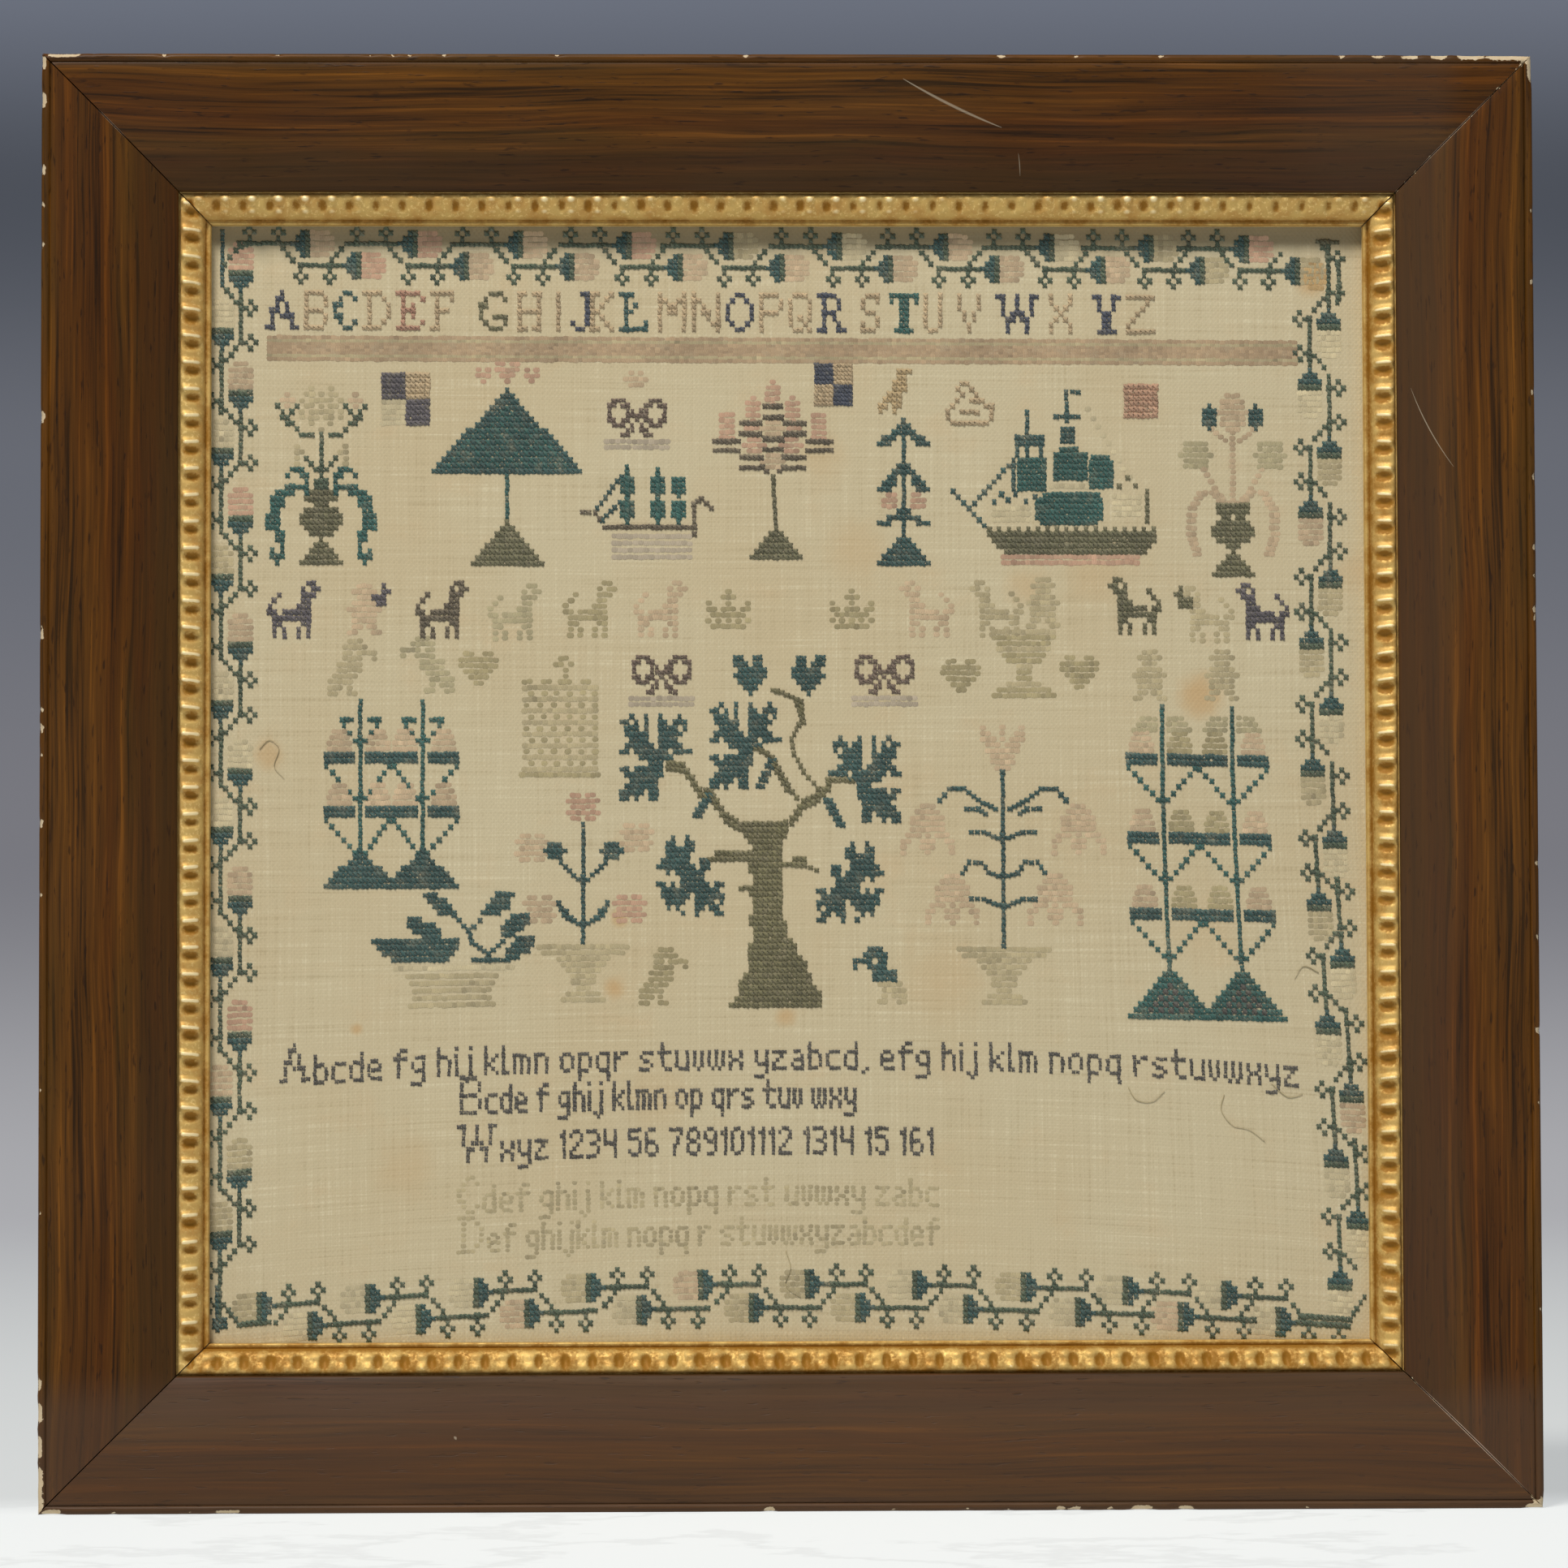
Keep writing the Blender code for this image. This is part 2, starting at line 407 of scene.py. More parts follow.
def weave_group():
    """Plain weave over counted threads: X across, Y down, two threads to a count."""
    inputs = [("Threads", "Vector", (0, 0, 0)), ("Per Count", "Float", 2.0)]
    outputs = [("Height", "Float"), ("Slubs", "Float"), ("Gaps", "Float")]
    tree, given, out = new_group("plain_weave", inputs, outputs)
    uneven = noise(tree, stretched(tree, given["Threads"], (0.30, 0.30, 0.0)), 1.0, 2.0)
    counted = scaled(tree, given["Threads"], given["Per Count"])
    shifted = times(tree, uneven, 1.4)
    parts = parts_of(tree, counted)
    across = times(tree, plus(tree, parts["X"], shifted), math.pi)
    down = times(tree, plus(tree, parts["Y"], shifted), math.pi)
    ridge_x = maths(tree, "ABSOLUTE", maths(tree, "SINE", across))
    ridge_y = maths(tree, "ABSOLUTE", maths(tree, "SINE", down))
    over = times(tree, maths(tree, "COSINE", across), maths(tree, "COSINE", down))
    height = plus(tree, times(tree, plus(tree, ridge_x, ridge_y), 0.4), over)
    warp = noise(tree, stretched(tree, given["Threads"], (1.5, 0.035, 0.0)), 1.0, 3.0, 0.7)
    weft = noise(tree, stretched(tree, given["Threads"], (0.03, 1.6, 0.0)), 1.0, 3.0, 0.7)
    slubs = plus(tree, times(tree, warp, 0.45), times(tree, weft, 0.55))
    tree.links.new(height, out["Height"])
    tree.links.new(slubs, out["Slubs"])
    gaps = times(tree, ramped(tree, ridge_x, 0.42, 0.08), ramped(tree, ridge_y, 0.42, 0.08))
    tree.links.new(gaps, out["Gaps"])
    return tree


# ---------------------------------------------------------------- materials


def walnut_grain_colour(tree, settings, grain, run):
    """Dark and light streaks with warm and olive stretches, pores and flecks, the darker band towards the
    lip, and painted shade in the quirk.
    """
    middle = tuple((a + b) * 0.42 for a, b in zip(settings.dark_walnut, settings.light_walnut))
    colour = mixed(tree, ramped(tree, grain["Streaks"], 0.34, 0.52), settings.dark_walnut, middle)
    colour = mixed(tree, ramped(tree, grain["Streaks"], 0.50, 0.70), colour, settings.light_walnut)
    warm = ramped(tree, grain["Broad"], 0.38, 0.66, 0.0, 0.5)
    colour = mixed(tree, warm, colour, tone(112, 66, 26), "SOFT_LIGHT")
    olive = noise(tree, stretched(tree, run, (6.0, 45.0, 45.0)), 1.0, 3.0, 0.6)
    colour = mixed(tree, ramped(tree, olive, 0.46, 0.66, 0.0, 0.45), colour, tone(70, 52, 18))
    inward = parts_of(tree, run)["Y"]
    inner = ramped(tree, inward, WOOD_FACE * 0.62, WOOD_FACE * 0.84, 0.0, 0.45)
    colour = mixed(tree, inner, colour, tone(58, 36, 16))
    # painted shade: a faint dark line along the quirk groove
    quirk = maths(tree, "ABSOLUTE", minus(tree, inward, 2.2 * BEAD_RADIUS))
    colour = mixed(tree, ramped(tree, quirk, 0.0007, 0.0001, 0.0, 0.15), colour, tone(34, 20, 9))
    colour = mixed(tree, times(tree, grain["Pores"], 0.6), colour, tone(26, 15, 8))
    flecks = noise(tree, stretched(tree, run, (110.0, 520.0, 520.0)), 1.0, 3.0, 0.7)
    return mixed(tree, ramped(tree, flecks, 0.60, 0.76, 0.0, 0.7), colour, tone(30, 16, 8))


def painted_sheen(tree, colour, parts):
    """Painted grey sheen of the light on the bottom moulding, and on the inner part of the right one."""
    # painted sheen: greyed where the light glances off the bottom and the inner right faces
    low = ramped(tree, parts["Z"], WOOD_FACE * 1.1, WOOD_FACE * 0.7, 0.0, 0.6)
    from_right = minus(tree, WIDTH / 2, parts["X"])
    right = ramped(tree, from_right, WOOD_FACE * 0.45, WOOD_FACE * 0.75, 0.0, 0.34)
    right = times(tree, right, ramped(tree, parts["X"], 0.12, 0.16))
    return mixed(tree, maths(tree, "MAXIMUM", low, right), colour, tone(80, 60, 45))


def scratched(tree, settings, groups, colour, place, parts):
    """The scratches and the open mitres, on the front only."""
    front = ramped(tree, parts["Y"], 0.004, 0.0)
    lines = ((SCRATCHES, 0.34, settings.gesso), (OPEN_MITRES, 0.8, tone(182, 158, 138)))
    for marks, strength, shade in lines:
        for start, end, bow, width in marks:
            inputs = {"Place": place, "Start": start, "End": end, "Bow": bow, "Half Width": width}
            mask = times(tree, placed(tree, groups["scratch"], inputs)["Mask"], front)
            colour = mixed(tree, times(tree, mask, strength), colour, shade)
    return colour


def walnut_material(settings, groups):
    """Dark polished walnut with a painted grey sheen on the bottom and right, scratched, with chips down to
    the gesso.
    """
    made, tree, shader = new_material("dark_walnut", Coat_Roughness=0.38, Specular_IOR_Level=0.12)
    run = attribute(tree, "run")
    place = object_place(tree)
    parts = parts_of(tree, place)
    grain = placed(tree, groups["grain"], {"Run": run, "Along": 9.0, "Across": 520.0})
    chips = placed(tree, groups["chips"], {"Place": place, "Wear": attribute(tree, "worn", "Fac")})["Mask"]
    colour = walnut_grain_colour(tree, settings, grain, run)
    colour = painted_sheen(tree, colour, parts)
    colour = scratched(tree, settings, groups, colour, place, parts)
    cream = mixed(tree, noise(tree, place, 600.0, 3.0), settings.gesso, tone(190, 164, 124))
    tree.links.new(mixed(tree, chips, colour, cream), shader.inputs["Base Color"])
    polish = ramped(tree, grain["Streaks"], 0.3, 0.7, 0.58, 0.46)
    rough = maths(tree, "MAXIMUM", polish, times(tree, chips, 0.85))
    tree.links.new(rough, shader.inputs["Roughness"])
    coat = ramped(tree, noise(tree, place, 22.0, 3.0), 0.35, 0.7, 0.02, 0.09)
    tree.links.new(minus(tree, coat, chips, clamp=True), shader.inputs["Coat Weight"])
    relief = minus(tree, times(tree, grain["Streaks"], 0.35), grain["Pores"])
    bumped(tree, shader, minus(tree, relief, times(tree, chips, 2.0)), 0.35, 0.0002)
    return made


def gilt_material(settings):
    """Rubbed leaf gold with bole and grime in the hollows of the ornament, a painted highlight on its bars,
    and painted shade on the sight fillet and most on the bottom and right sides.
    """
    made, tree, shader = new_material("rubbed_gilding", Specular_IOR_Level=0.15)
    place = object_place(tree)
    hollow = attribute(tree, "hollow", "Fac")
    patches = noise(tree, place, 150.0, 4.0, 0.62)
    specks = noise(tree, place, 1100.0, 3.0, 0.6)
    gold = mixed(tree, ramped(tree, patches, 0.35, 0.7), settings.gold, tone(196, 152, 84))
    gold = mixed(tree, ramped(tree, specks, 0.52, 0.68, 0.0, 0.6), gold, tone(250, 222, 150))
    # painted highlight: cream where the hollow value is lowest, on the bars of the ornament
    gold = mixed(tree, ramped(tree, hollow, 0.12, 0.02, 0.0, 0.9), gold, tone(255, 236, 186))
    # grime in the hollows, with the painted shade that the hollow value carries on the fillet and by side
    dirt_and_shade = plus(tree, hollow, times(tree, minus(tree, specks, 0.5), 1.3))
    dirt_and_shade = plus(tree, dirt_and_shade, times(tree, minus(tree, patches, 0.5), 1.1))
    dirt_and_shade = ramped(tree, dirt_and_shade, 0.30, 1.05, 0.0, 0.9)
    tree.links.new(mixed(tree, dirt_and_shade, gold, settings.bole), shader.inputs["Base Color"])
    tree.links.new(ramped(tree, dirt_and_shade, 0.0, 1.0, 0.4, 0.1), shader.inputs["Metallic"])
    tree.links.new(ramped(tree, specks, 0.3, 0.75, 0.50, 0.68), shader.inputs["Roughness"])
    bumped(tree, shader, plus(tree, specks, patches), 0.35, 0.0002)
    return made


SLIP_SHADOW_EDGE = (0.0034, 0.0072)  # how far down the painted shadow of the slip along the top is full, and where it is gone


def linen_material(settings, groups):
    """Aged plain-woven ground with slubs, uneven toning and old marks, and a painted shadow of the slip
    along the top.
    """
    made, tree, shader = new_material("aged_linen", 0.92, Sheen_Weight=0.15, Sheen_Roughness=0.6)
    place = object_place(tree)
    threads = attribute(tree, "threads")
    weave = placed(tree, groups["weave"], {"Threads": threads})
    cloudy = noise(tree, stretched(tree, place, (1.0, 0.0, 1.0)), 14.0, 4.0, 0.55)
    blotch = noise(tree, stretched(tree, place, (1.0, 0.0, 1.3)), 55.0, 4.0, 0.6)
    colour = mixed(tree, ramped(tree, cloudy, 0.36, 0.68, 0.0, 0.45), settings.linen, settings.tea)
    colour = mixed(tree, ramped(tree, blotch, 0.52, 0.76, 0.0, 0.22), colour, tone(198, 166, 124))
    colour = mixed(tree, ramped(tree, weave["Slubs"], 0.52, 0.66, 0.0, 0.42), colour, tone(158, 140, 104))
    colour = mixed(tree, ramped(tree, weave["Slubs"], 0.48, 0.34, 0.0, 0.50), colour, tone(218, 208, 176))
    colour = mixed(tree, times(tree, weave["Gaps"], 0.42), colour, tone(130, 112, 80))
    for column, row, radius, strength in STAINS:
        x, z = counted_place(column, row)
        centre = (float(x), 0.0, float(z))
        inputs = {"Place": place, "Centre": centre, "Radius": radius, "Strength": strength}
        colour = mixed(tree, placed(tree, groups["spot"], inputs)["Mask"], colour, settings.stain)
    # painted shadow: the cloth darkened along the top, where the slip's shadow falls
    up = parts_of(tree, place)["Z"]
    from_top = minus(tree, SIGHT_TOP, up)
    painted_slip_shadow = ramped(tree, from_top, *SLIP_SHADOW_EDGE, 0.72, 0.0)
    colour = mixed(tree, painted_slip_shadow, colour, tone(122, 108, 76))
    tree.links.new(colour, shader.inputs["Base Color"])
    bumped(tree, shader, weave["Height"], 0.3, 0.00008)
    return made


TWIST = 14000.0  # turn of the thread in radians a metre


def thread_material():
    """Faded twisted thread in the dye that each stitch carries."""
    made, tree, shader = new_material("faded_thread", 0.8, Sheen_Weight=0.12, Sheen_Roughness=0.45)
    lay = attribute(tree, "lay")
    dye = attribute(tree, "dye", "Color")
    parts = parts_of(tree, lay)
    twist = maths(tree, "SINE", plus(tree, times(tree, parts["X"], TWIST), parts["Y"]))
    place = object_place(tree)
    fluff = noise(tree, place, 2600.0, 2.0)
    worn = noise(tree, place, 240.0, 3.0, 0.6)
    faded = mixed(tree, ramped(tree, worn, 0.48, 0.76, 0.0, 0.30), dye, tone(176, 164, 136))
    shaded = mixed(tree, ramped(tree, twist, -1.0, 0.4, 0.16, 0.0), faded, tone(18, 18, 22))
    fuzzy = mixed(tree, ramped(tree, fluff, 0.5, 0.75, 0.0, 0.16), shaded, tone(206, 200, 178))
    tree.links.new(fuzzy, shader.inputs["Base Color"])
    bumped(tree, shader, plus(tree, twist, fluff), 0.4, 0.00008)
    return made


def pine_material(settings, groups):
    """Plain aged board with grain across it."""
    made, tree, shader = new_material("aged_pine", 0.8)
    place = object_place(tree)
    grain = placed(tree, groups["grain"], {"Run": place, "Along": 4.0, "Across": 160.0})
    dark = tuple(0.45 * c for c in settings.board)
    colour = mixed(tree, ramped(tree, grain["Streaks"], 0.36, 0.64), dark, settings.board)
    grime = ramped(tree, noise(tree, place, 18.0, 4.0), 0.45, 0.7, 0.0, 0.5)
    colour = mixed(tree, grime, colour, tone(70, 52, 36))
    tree.links.new(colour, shader.inputs["Base Color"])
    bumped(tree, shader, grain["Streaks"], 0.4, 0.0003)
    return made


def stage_material():
    """Pale floor that rises into a soft grey backdrop."""
    made, tree, shader = new_material("pale_stage", 0.9, Specular_IOR_Level=0.1)
    place = object_place(tree)
    parts = parts_of(tree, place)
    near = ramped(tree, parts["Y"], -0.02, 0.06)
    veins = maths(tree, "ABSOLUTE", minus(tree, noise(tree, place, 7.0, 6.0, 0.6), 0.5))
    marble = mixed(tree, ramped(tree, veins, 0.03, 0.0, 0.0, 0.3), tone(236, 239, 239), tone(206, 208, 208))
    colour = mixed(tree, near, marble, tone(210, 213, 213))
    colour = mixed(tree, ramped(tree, parts["Y"], 0.3, BACKDROP_AWAY), colour, tone(186, 186, 190))
    for low, high, shade in BACKDROP_TONES:
        colour = mixed(tree, ramped(tree, parts["Z"], low, high), colour, tone(*shade))
    tree.links.new(colour, shader.inputs["Emission Color"])
    shader.inputs["Emission Strength"].default_value = STAGE_GLOW
    tree.links.new(mixed(tree, STAGE_DIM, colour, (0.0, 0.0, 0.0)), shader.inputs["Base Color"])
    return made


# ---------------------------------------------------------------- stage

STAGE_HALF = 7.0
STAGE_GLOW = 0.74
STAGE_DIM = 0.67  # share of its colour that the stage doesn't reflect
BACKDROP_AWAY = 3.3
BACKDROP_CURVE = 0.5
BACKDROP_RISE = 4.0
# from height, to height, and the tone reached there
BACKDROP_TONES = (
    (0.00, 0.30, (132, 132, 139)),
    (0.30, 0.62, (113, 116, 125)),
    (0.62, 0.86, (84, 88, 97)),
    (0.86, 1.10, (124, 130, 144)),
)


def build_stage():
    """Floor and backdrop in one sweep."""
    bm = bmesh.new()
    start = bmesh.ops.create_vert(bm, co=(-STAGE_HALF, -STAGE_HALF, 0.0))["vert"][0]
    fold = BACKDROP_AWAY - BACKDROP_CURVE

    def extended(vert, way):
        grown = bmesh.ops.extrude_vert_indiv(bm, verts=[vert])["verts"]
        bmesh.ops.translate(bm, verts=grown, vec=way)
        return grown[0]

    corner = extended(start, (0.0, STAGE_HALF + fold, 0.0))
    centre = (-STAGE_HALF, fold, BACKDROP_CURVE)
    quarter = {"axis": (1.0, 0.0, 0.0), "angle": math.pi / 2, "steps": 16}
    turned = bmesh.ops.spin(bm, geom=[corner], cent=centre, **quarter)
    last = [item for item in turned["geom_last"] if isinstance(item, bmesh.types.BMVert)][0]
    extended(last, (0.0, 0.0, BACKDROP_RISE))
    swept = bmesh.ops.extrude_edge_only(bm, edges=bm.edges[:])["geom"]
    moved = [item for item in swept if isinstance(item, bmesh.types.BMVert)]
    bmesh.ops.translate(bm, verts=moved, vec=(2 * STAGE_HALF, 0.0, 0.0))
    bmesh.ops.recalc_face_normals(bm, faces=bm.faces)
    bm.faces.ensure_lookup_table()
    if bm.faces[0].normal.z < 0:
        bmesh.ops.reverse_faces(bm, faces=bm.faces)
    stage = new_piece("stage", bm, stage_material())
    stage.data.shade_smooth()


def place_camera(settings):
    """The camera, placed and turned by its settings."""
    camera_data = bpy.data.cameras.new("camera")
    camera_data.lens = settings.lens
    camera_data.clip_start = 0.05
    camera = bpy.data.objects.new("camera", camera_data)
    pitch, roll, yaw = settings.camera_turn
    level = Matrix.Rotation(math.pi / 2, 4, "X")
    turned = Matrix.Rotation(yaw, 4, "Z") @ Matrix.Rotation(pitch, 4, "X") @ Matrix.Rotation(roll, 4, "Y")
    camera.matrix_world = Matrix.Translation(settings.camera_place) @ turned @ level
    bpy.context.scene.collection.objects.link(camera)
    bpy.context.scene.camera = camera


# place, colour and width of the beam in degrees of the large soft light and of a weak fill
KEY_LIGHT = ((-0.7, -1.65, 3.0), (255, 251, 244), 70.0)
FILL_LIGHT = ((2.4, -2.0, 0.9), (240, 246, 255), 180.0)
FILL_SHARE = 0.06  # of the key's power
FILL_SIZE = 1.8


def light_stage(settings):
    """A large soft light, its fill and the sky, shown in plain screen colours."""
    add_light("key", settings.key_power, settings.key_size, *KEY_LIGHT)
    add_light("side_fill", settings.key_power * FILL_SHARE, FILL_SIZE, *FILL_LIGHT)
    world = bpy.data.worlds.new("soft_sky")
    world.use_nodes = True
    background = world.node_tree.nodes["Background"]
    background.inputs["Color"].default_value = (*tone(236, 241, 250), 1.0)
    background.inputs["Strength"].default_value = settings.sky
    bpy.context.scene.world = world
    bpy.context.scene.view_settings.view_transform = "Standard"
    bpy.context.scene.view_settings.look = "None"


def add_light(name, power, size, place, colour, spread):
    """An area light aimed at the middle of the sampler."""
    lamp = bpy.data.lights.new(name, "AREA")
    lamp.shape = "SQUARE"
    lamp.energy = power
    lamp.size = size
    lamp.spread = math.radians(spread)
    lamp.color = tone(*colour)
    holder = bpy.data.objects.new(name, lamp)
    aim = Vector((0.0, 0.0, HEIGHT / 2)) - Vector(place)
    holder.matrix_world = Matrix.Translation(place) @ aim.to_track_quat("-Z", "Y").to_matrix().to_4x4()
    bpy.context.scene.collection.objects.link(holder)


def new_piece(name, bm, finish):
    """An object of the scene made from a bmesh, with its finish."""
    mesh = bpy.data.meshes.new(name)
    bm.to_mesh(mesh)
    bm.free()
    mesh.materials.append(finish)
    piece = bpy.data.objects.new(name, mesh)
    bpy.context.scene.collection.objects.link(piece)
    return piece


# ---------------------------------------------------------------- mouldings


def arc(centre_inward, centre_rise, radius, start, end, steps):
    """Points of an arc in the section, with its angles in degrees from the inward direction."""
    angles = [math.radians(start + (end - start) * step / steps) for step in range(steps + 1)]
    return [(centre_inward + radius * math.cos(a), centre_rise + radius * math.sin(a)) for a in angles]


def hump(offset, width):
    """A smooth rise of height 1, so wide on each side of its middle."""
    return math.exp(-((offset / width) ** 2))


def sweep_member(side, section, cuts, shape, layers):
    """Sweeps a closed section along one side of the frame and mitres its ends.

    The section is a list of (inward, rise) points. A point of the run is (along, inward, rise), and
    shape(run) says where it goes. layers holds a function of the run for each value that the material
    reads, by the value's name."""
    turn, share_x, share_z = SIDES[side]
    length = side_length(side)
    bm = bmesh.new()
    corners = [bm.verts.new((-length / 2, DEPTH / 2 - rise, inward)) for inward, rise in section]
    end = bm.faces.new(corners)
    grown = bmesh.ops.extrude_face_region(bm, geom=[end])
    far_end = [item for item in grown["geom"] if isinstance(item, bmesh.types.BMVert)]
    bmesh.ops.translate(bm, verts=far_end, vec=(length, 0.0, 0.0))
    long_edges = [e for e in bm.edges if abs(e.verts[0].co.x - e.verts[1].co.x) > length / 2]
    bmesh.ops.subdivide_edges(bm, edges=long_edges, cuts=cuts, use_grid_fill=True)
    run_layer = bm.verts.layers.float_vector.new("run")
    kept = {name: (bm.verts.layers.float.new(name), work_out) for name, work_out in layers.items()}
    half_gap = GAP / 2 * math.sqrt(2)
    for vert in bm.verts:
        inward = vert.co.z
        along = vert.co.x * (1 - 2 * (inward + half_gap) / length)
        run = Vector((along, inward, DEPTH / 2 - vert.co.y))
        vert[run_layer] = run
        for layer, work_out in kept.values():
            vert[layer] = work_out(run)
        along, inward, rise = shape(run)
        vert.co = (along, DEPTH / 2 - rise, inward)
    turned = Matrix.Rotation(math.radians(turn), 4, "Y")
    bm.transform(Matrix.Translation((share_x * WIDTH, 0.0, share_z * HEIGHT)) @ turned)
    bmesh.ops.recalc_face_normals(bm, faces=bm.faces)
    return bm


GAP = 0.0003  # between neighbouring pieces
BEAD_RADIUS = 0.0012
BEAD_QUIRK = 0.0004
FACE_START = 2 * BEAD_RADIUS + 0.0004
FACE_FALL = 0.0086
FACE_CURVE = 1.8
FACE_STEPS = 18
LIP_HEIGHT = 0.0022
LIP_ROUND = 0.0008
REBATE_EDGE = INSERT_EDGE - GAP
LIP_TOP = DEPTH - BEAD_QUIRK - FACE_FALL
LIP_UNDERSIDE = LIP_TOP - LIP_HEIGHT


def walnut_section():
    """Back, outer side, bead, quirk, broad rounded face, lip and rebate, as (inward, rise) points."""
    bead = arc(BEAD_RADIUS, DEPTH - BEAD_RADIUS, BEAD_RADIUS, 180, 20, 8)
    top = DEPTH - BEAD_QUIRK
    quirk = [(2 * BEAD_RADIUS + 0.0001, top - 0.00015)]
    face = []
    for step in range(FACE_STEPS + 1):
        share = step / FACE_STEPS
        inward = FACE_START + (WOOD_FACE - 0.0006 - FACE_START) * share
        face.append((inward, top - FACE_FALL * share**FACE_CURVE))
    lip = arc(WOOD_FACE - LIP_ROUND, LIP_TOP - LIP_ROUND, LIP_ROUND, 70, 0, 3)
    rebate = [(WOOD_FACE, LIP_UNDERSIDE), (REBATE_EDGE, LIP_UNDERSIDE), (REBATE_EDGE, 0.0)]
    return [(0.0, 0.0), (0.0, DEPTH * 0.5), *bead, *quirk, *face, *lip, *rebate]


# along from the middle, half length and reach over the arris of each larger chip, metres
CHIPS = {
    "top": (
        (0.2010, 0.0050, 0.0012), (0.0120, 0.0014, 0.0011), (0.1100, 0.0010, 0.0009),
        (-0.1640, 0.0020, 0.0011), (-0.1730, 0.0028, 0.0014), (-0.1810, 0.0026, 0.0016),
        (-0.1900, 0.0040, 0.0018), (-0.1990, 0.0046, 0.0018), (-0.2060, 0.0030, 0.0020),
    ),
    "right": (
        (0.1980, 0.0046, 0.0015), (0.1380, 0.0012, 0.0010), (0.0640, 0.0010, 0.0010),
        (-0.0700, 0.0012, 0.0010), (-0.2000, 0.0020, 0.0014),
    ),
    "left": (
        (-0.1990, 0.0022, 0.0014), (-0.1885, 0.0024, 0.0016), (-0.1690, 0.0014, 0.0014),
        (-0.1005, 0.0018, 0.0017), (0.0115, 0.0012, 0.0012), (0.0320, 0.0010, 0.0010),
        (0.1660, 0.0020, 0.0012), (0.1740, 0.0030, 0.0016), (0.1830, 0.0036, 0.0015),
        (0.1920, 0.0040, 0.0020), (0.1995, 0.0034, 0.0022),
    ),
    "bottom": (
        (-0.2030, 0.0030, 0.0018), (-0.1560, 0.0036, 0.0010), (-0.0060, 0.0014, 0.0014),
        (0.0780, 0.0016, 0.0012), (0.0960, 0.0036, 0.0014), (0.1080, 0.0024, 0.0012),
        (0.2040, 0.0024, 0.0016),
    ),
}
SMALL_CHIPS = 12  # more on each side, at random along its outer edge
# ends of the run where the joint stands open
PALE_MITRES = {"top": (-1,), "right": (-1, 1), "bottom": (1,)}
PALE_MITRE_HALF = 0.0011
PALE_MITRE_WEAR = 0.42
WORN_REACH = 0.006  # from the arris, past which nothing is chipped
PLANE_WAVES = 5  # slow waves that the plane left along each moulding


def along_mitre(right, top, start, end, half_width):
    """A straight line on a mitre, between two distances in from both edges, as a scratch is given."""
    ends = []
    for inward in (start, end):
        across = (WIDTH / 2 - inward) * (1 if right else -1)
        ends.append((across, 0.0, HEIGHT - inward if top else inward))
    return (*ends, (0.0, 0.0, 0.0), half_width)


OPEN_MITRES = (
    along_mitre(True, False, WOOD_FACE, 0.0022, 0.00030),
    along_mitre(True, True, WOOD_FACE, 0.0060, 0.00020),
    along_mitre(False, True, 0.0135, 0.0250, 0.00018),
)
# start, end and sideways bow on the XZ plane, and half the width, of the scratches across the finish
SCRATCHES = (
    ((0.0318, 0.0, 0.3961), (0.0592, 0.0, 0.3829), (-0.0003, 0.0, -0.0006), 0.00030),
    ((0.1735, 0.0, 0.3106), (0.1847, 0.0, 0.2882), (-0.0008, 0.0, -0.0004), 0.00012),
    ((0.0640, 0.0, 0.3760), (0.0646, 0.0, 0.3700), (0.0001, 0.0, 0.0), 0.00010),
    ((-0.0930, 0.0, 0.0207), (-0.0924, 0.0, 0.0199), (0.0001, 0.0, 0.0), 0.00030),
)


def wear_of(side):
    """A function of the run that says how worn a point of this side is."""
    chance = random.Random("chips " + side)
    half = side_length(side) / 2
    chips = list(CHIPS[side])
    for _ in range(SMALL_CHIPS):
        along = chance.uniform(-half, half)
        chips.append((along, chance.uniform(0.0006, 0.0014), chance.uniform(0.0007, 0.0012)))

    def worn(run):
        total = 0.0
        from_arris = math.hypot(run.y, DEPTH - run.z)
        if from_arris < WORN_REACH:
            for along, length, reach in chips:
                away = abs(run.x - along)
                if away < 2 * length:
                    total += math.exp(-((away / length) ** 4) - (from_arris / reach) ** 2)
        for end in PALE_MITRES.get(side, ()):
            from_mitre = half - run.y - end * run.x
            if run.z > LIP_UNDERSIDE:
                total += PALE_MITRE_WEAR * hump(from_mitre, PALE_MITRE_HALF)
        return min(total, 1.0)

    return worn


def build_walnut_frame(settings, finish):
    """Four mitred mouldings with their bead, broad face, lip, rebate and chips."""
    section = walnut_section()
    for side in SIDES:
        worn = wear_of(side)
        chance = random.Random("hand planed " + side)
        waves = []
        for _ in range(PLANE_WAVES):
            turns, phase = chance.uniform(9, 60), chance.uniform(0, 6.28)
            waves.append((turns, phase, chance.uniform(0.00002, 0.00007)))

        def shape(run, worn=worn, waves=waves):
            """Slight unevenness of the planed wood, and the chips cut into its arris."""
            along, inward, rise = run
            uneven = sum(size * math.sin(turns * along + phase) for turns, phase, size in waves)
            if rise > LIP_UNDERSIDE and inward < WOOD_FACE - 0.001:
                depth = settings.chip_depth * worn(run)
                rise += uneven - depth
                inward += depth * (1.0 if inward < BEAD_RADIUS else 0.0)
            return along, inward, rise

        bm = sweep_member(side, section, settings.cuts, shape, {"worn": worn})
        piece = new_piece("walnut_" + side, bm, finish)
        piece.data.shade_smooth()
        piece.data.set_sharp_from_angle(angle=math.radians(50))
        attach(piece, "root")
        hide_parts("frame_" + side)


# ---------------------------------------------------------------- gilt slip

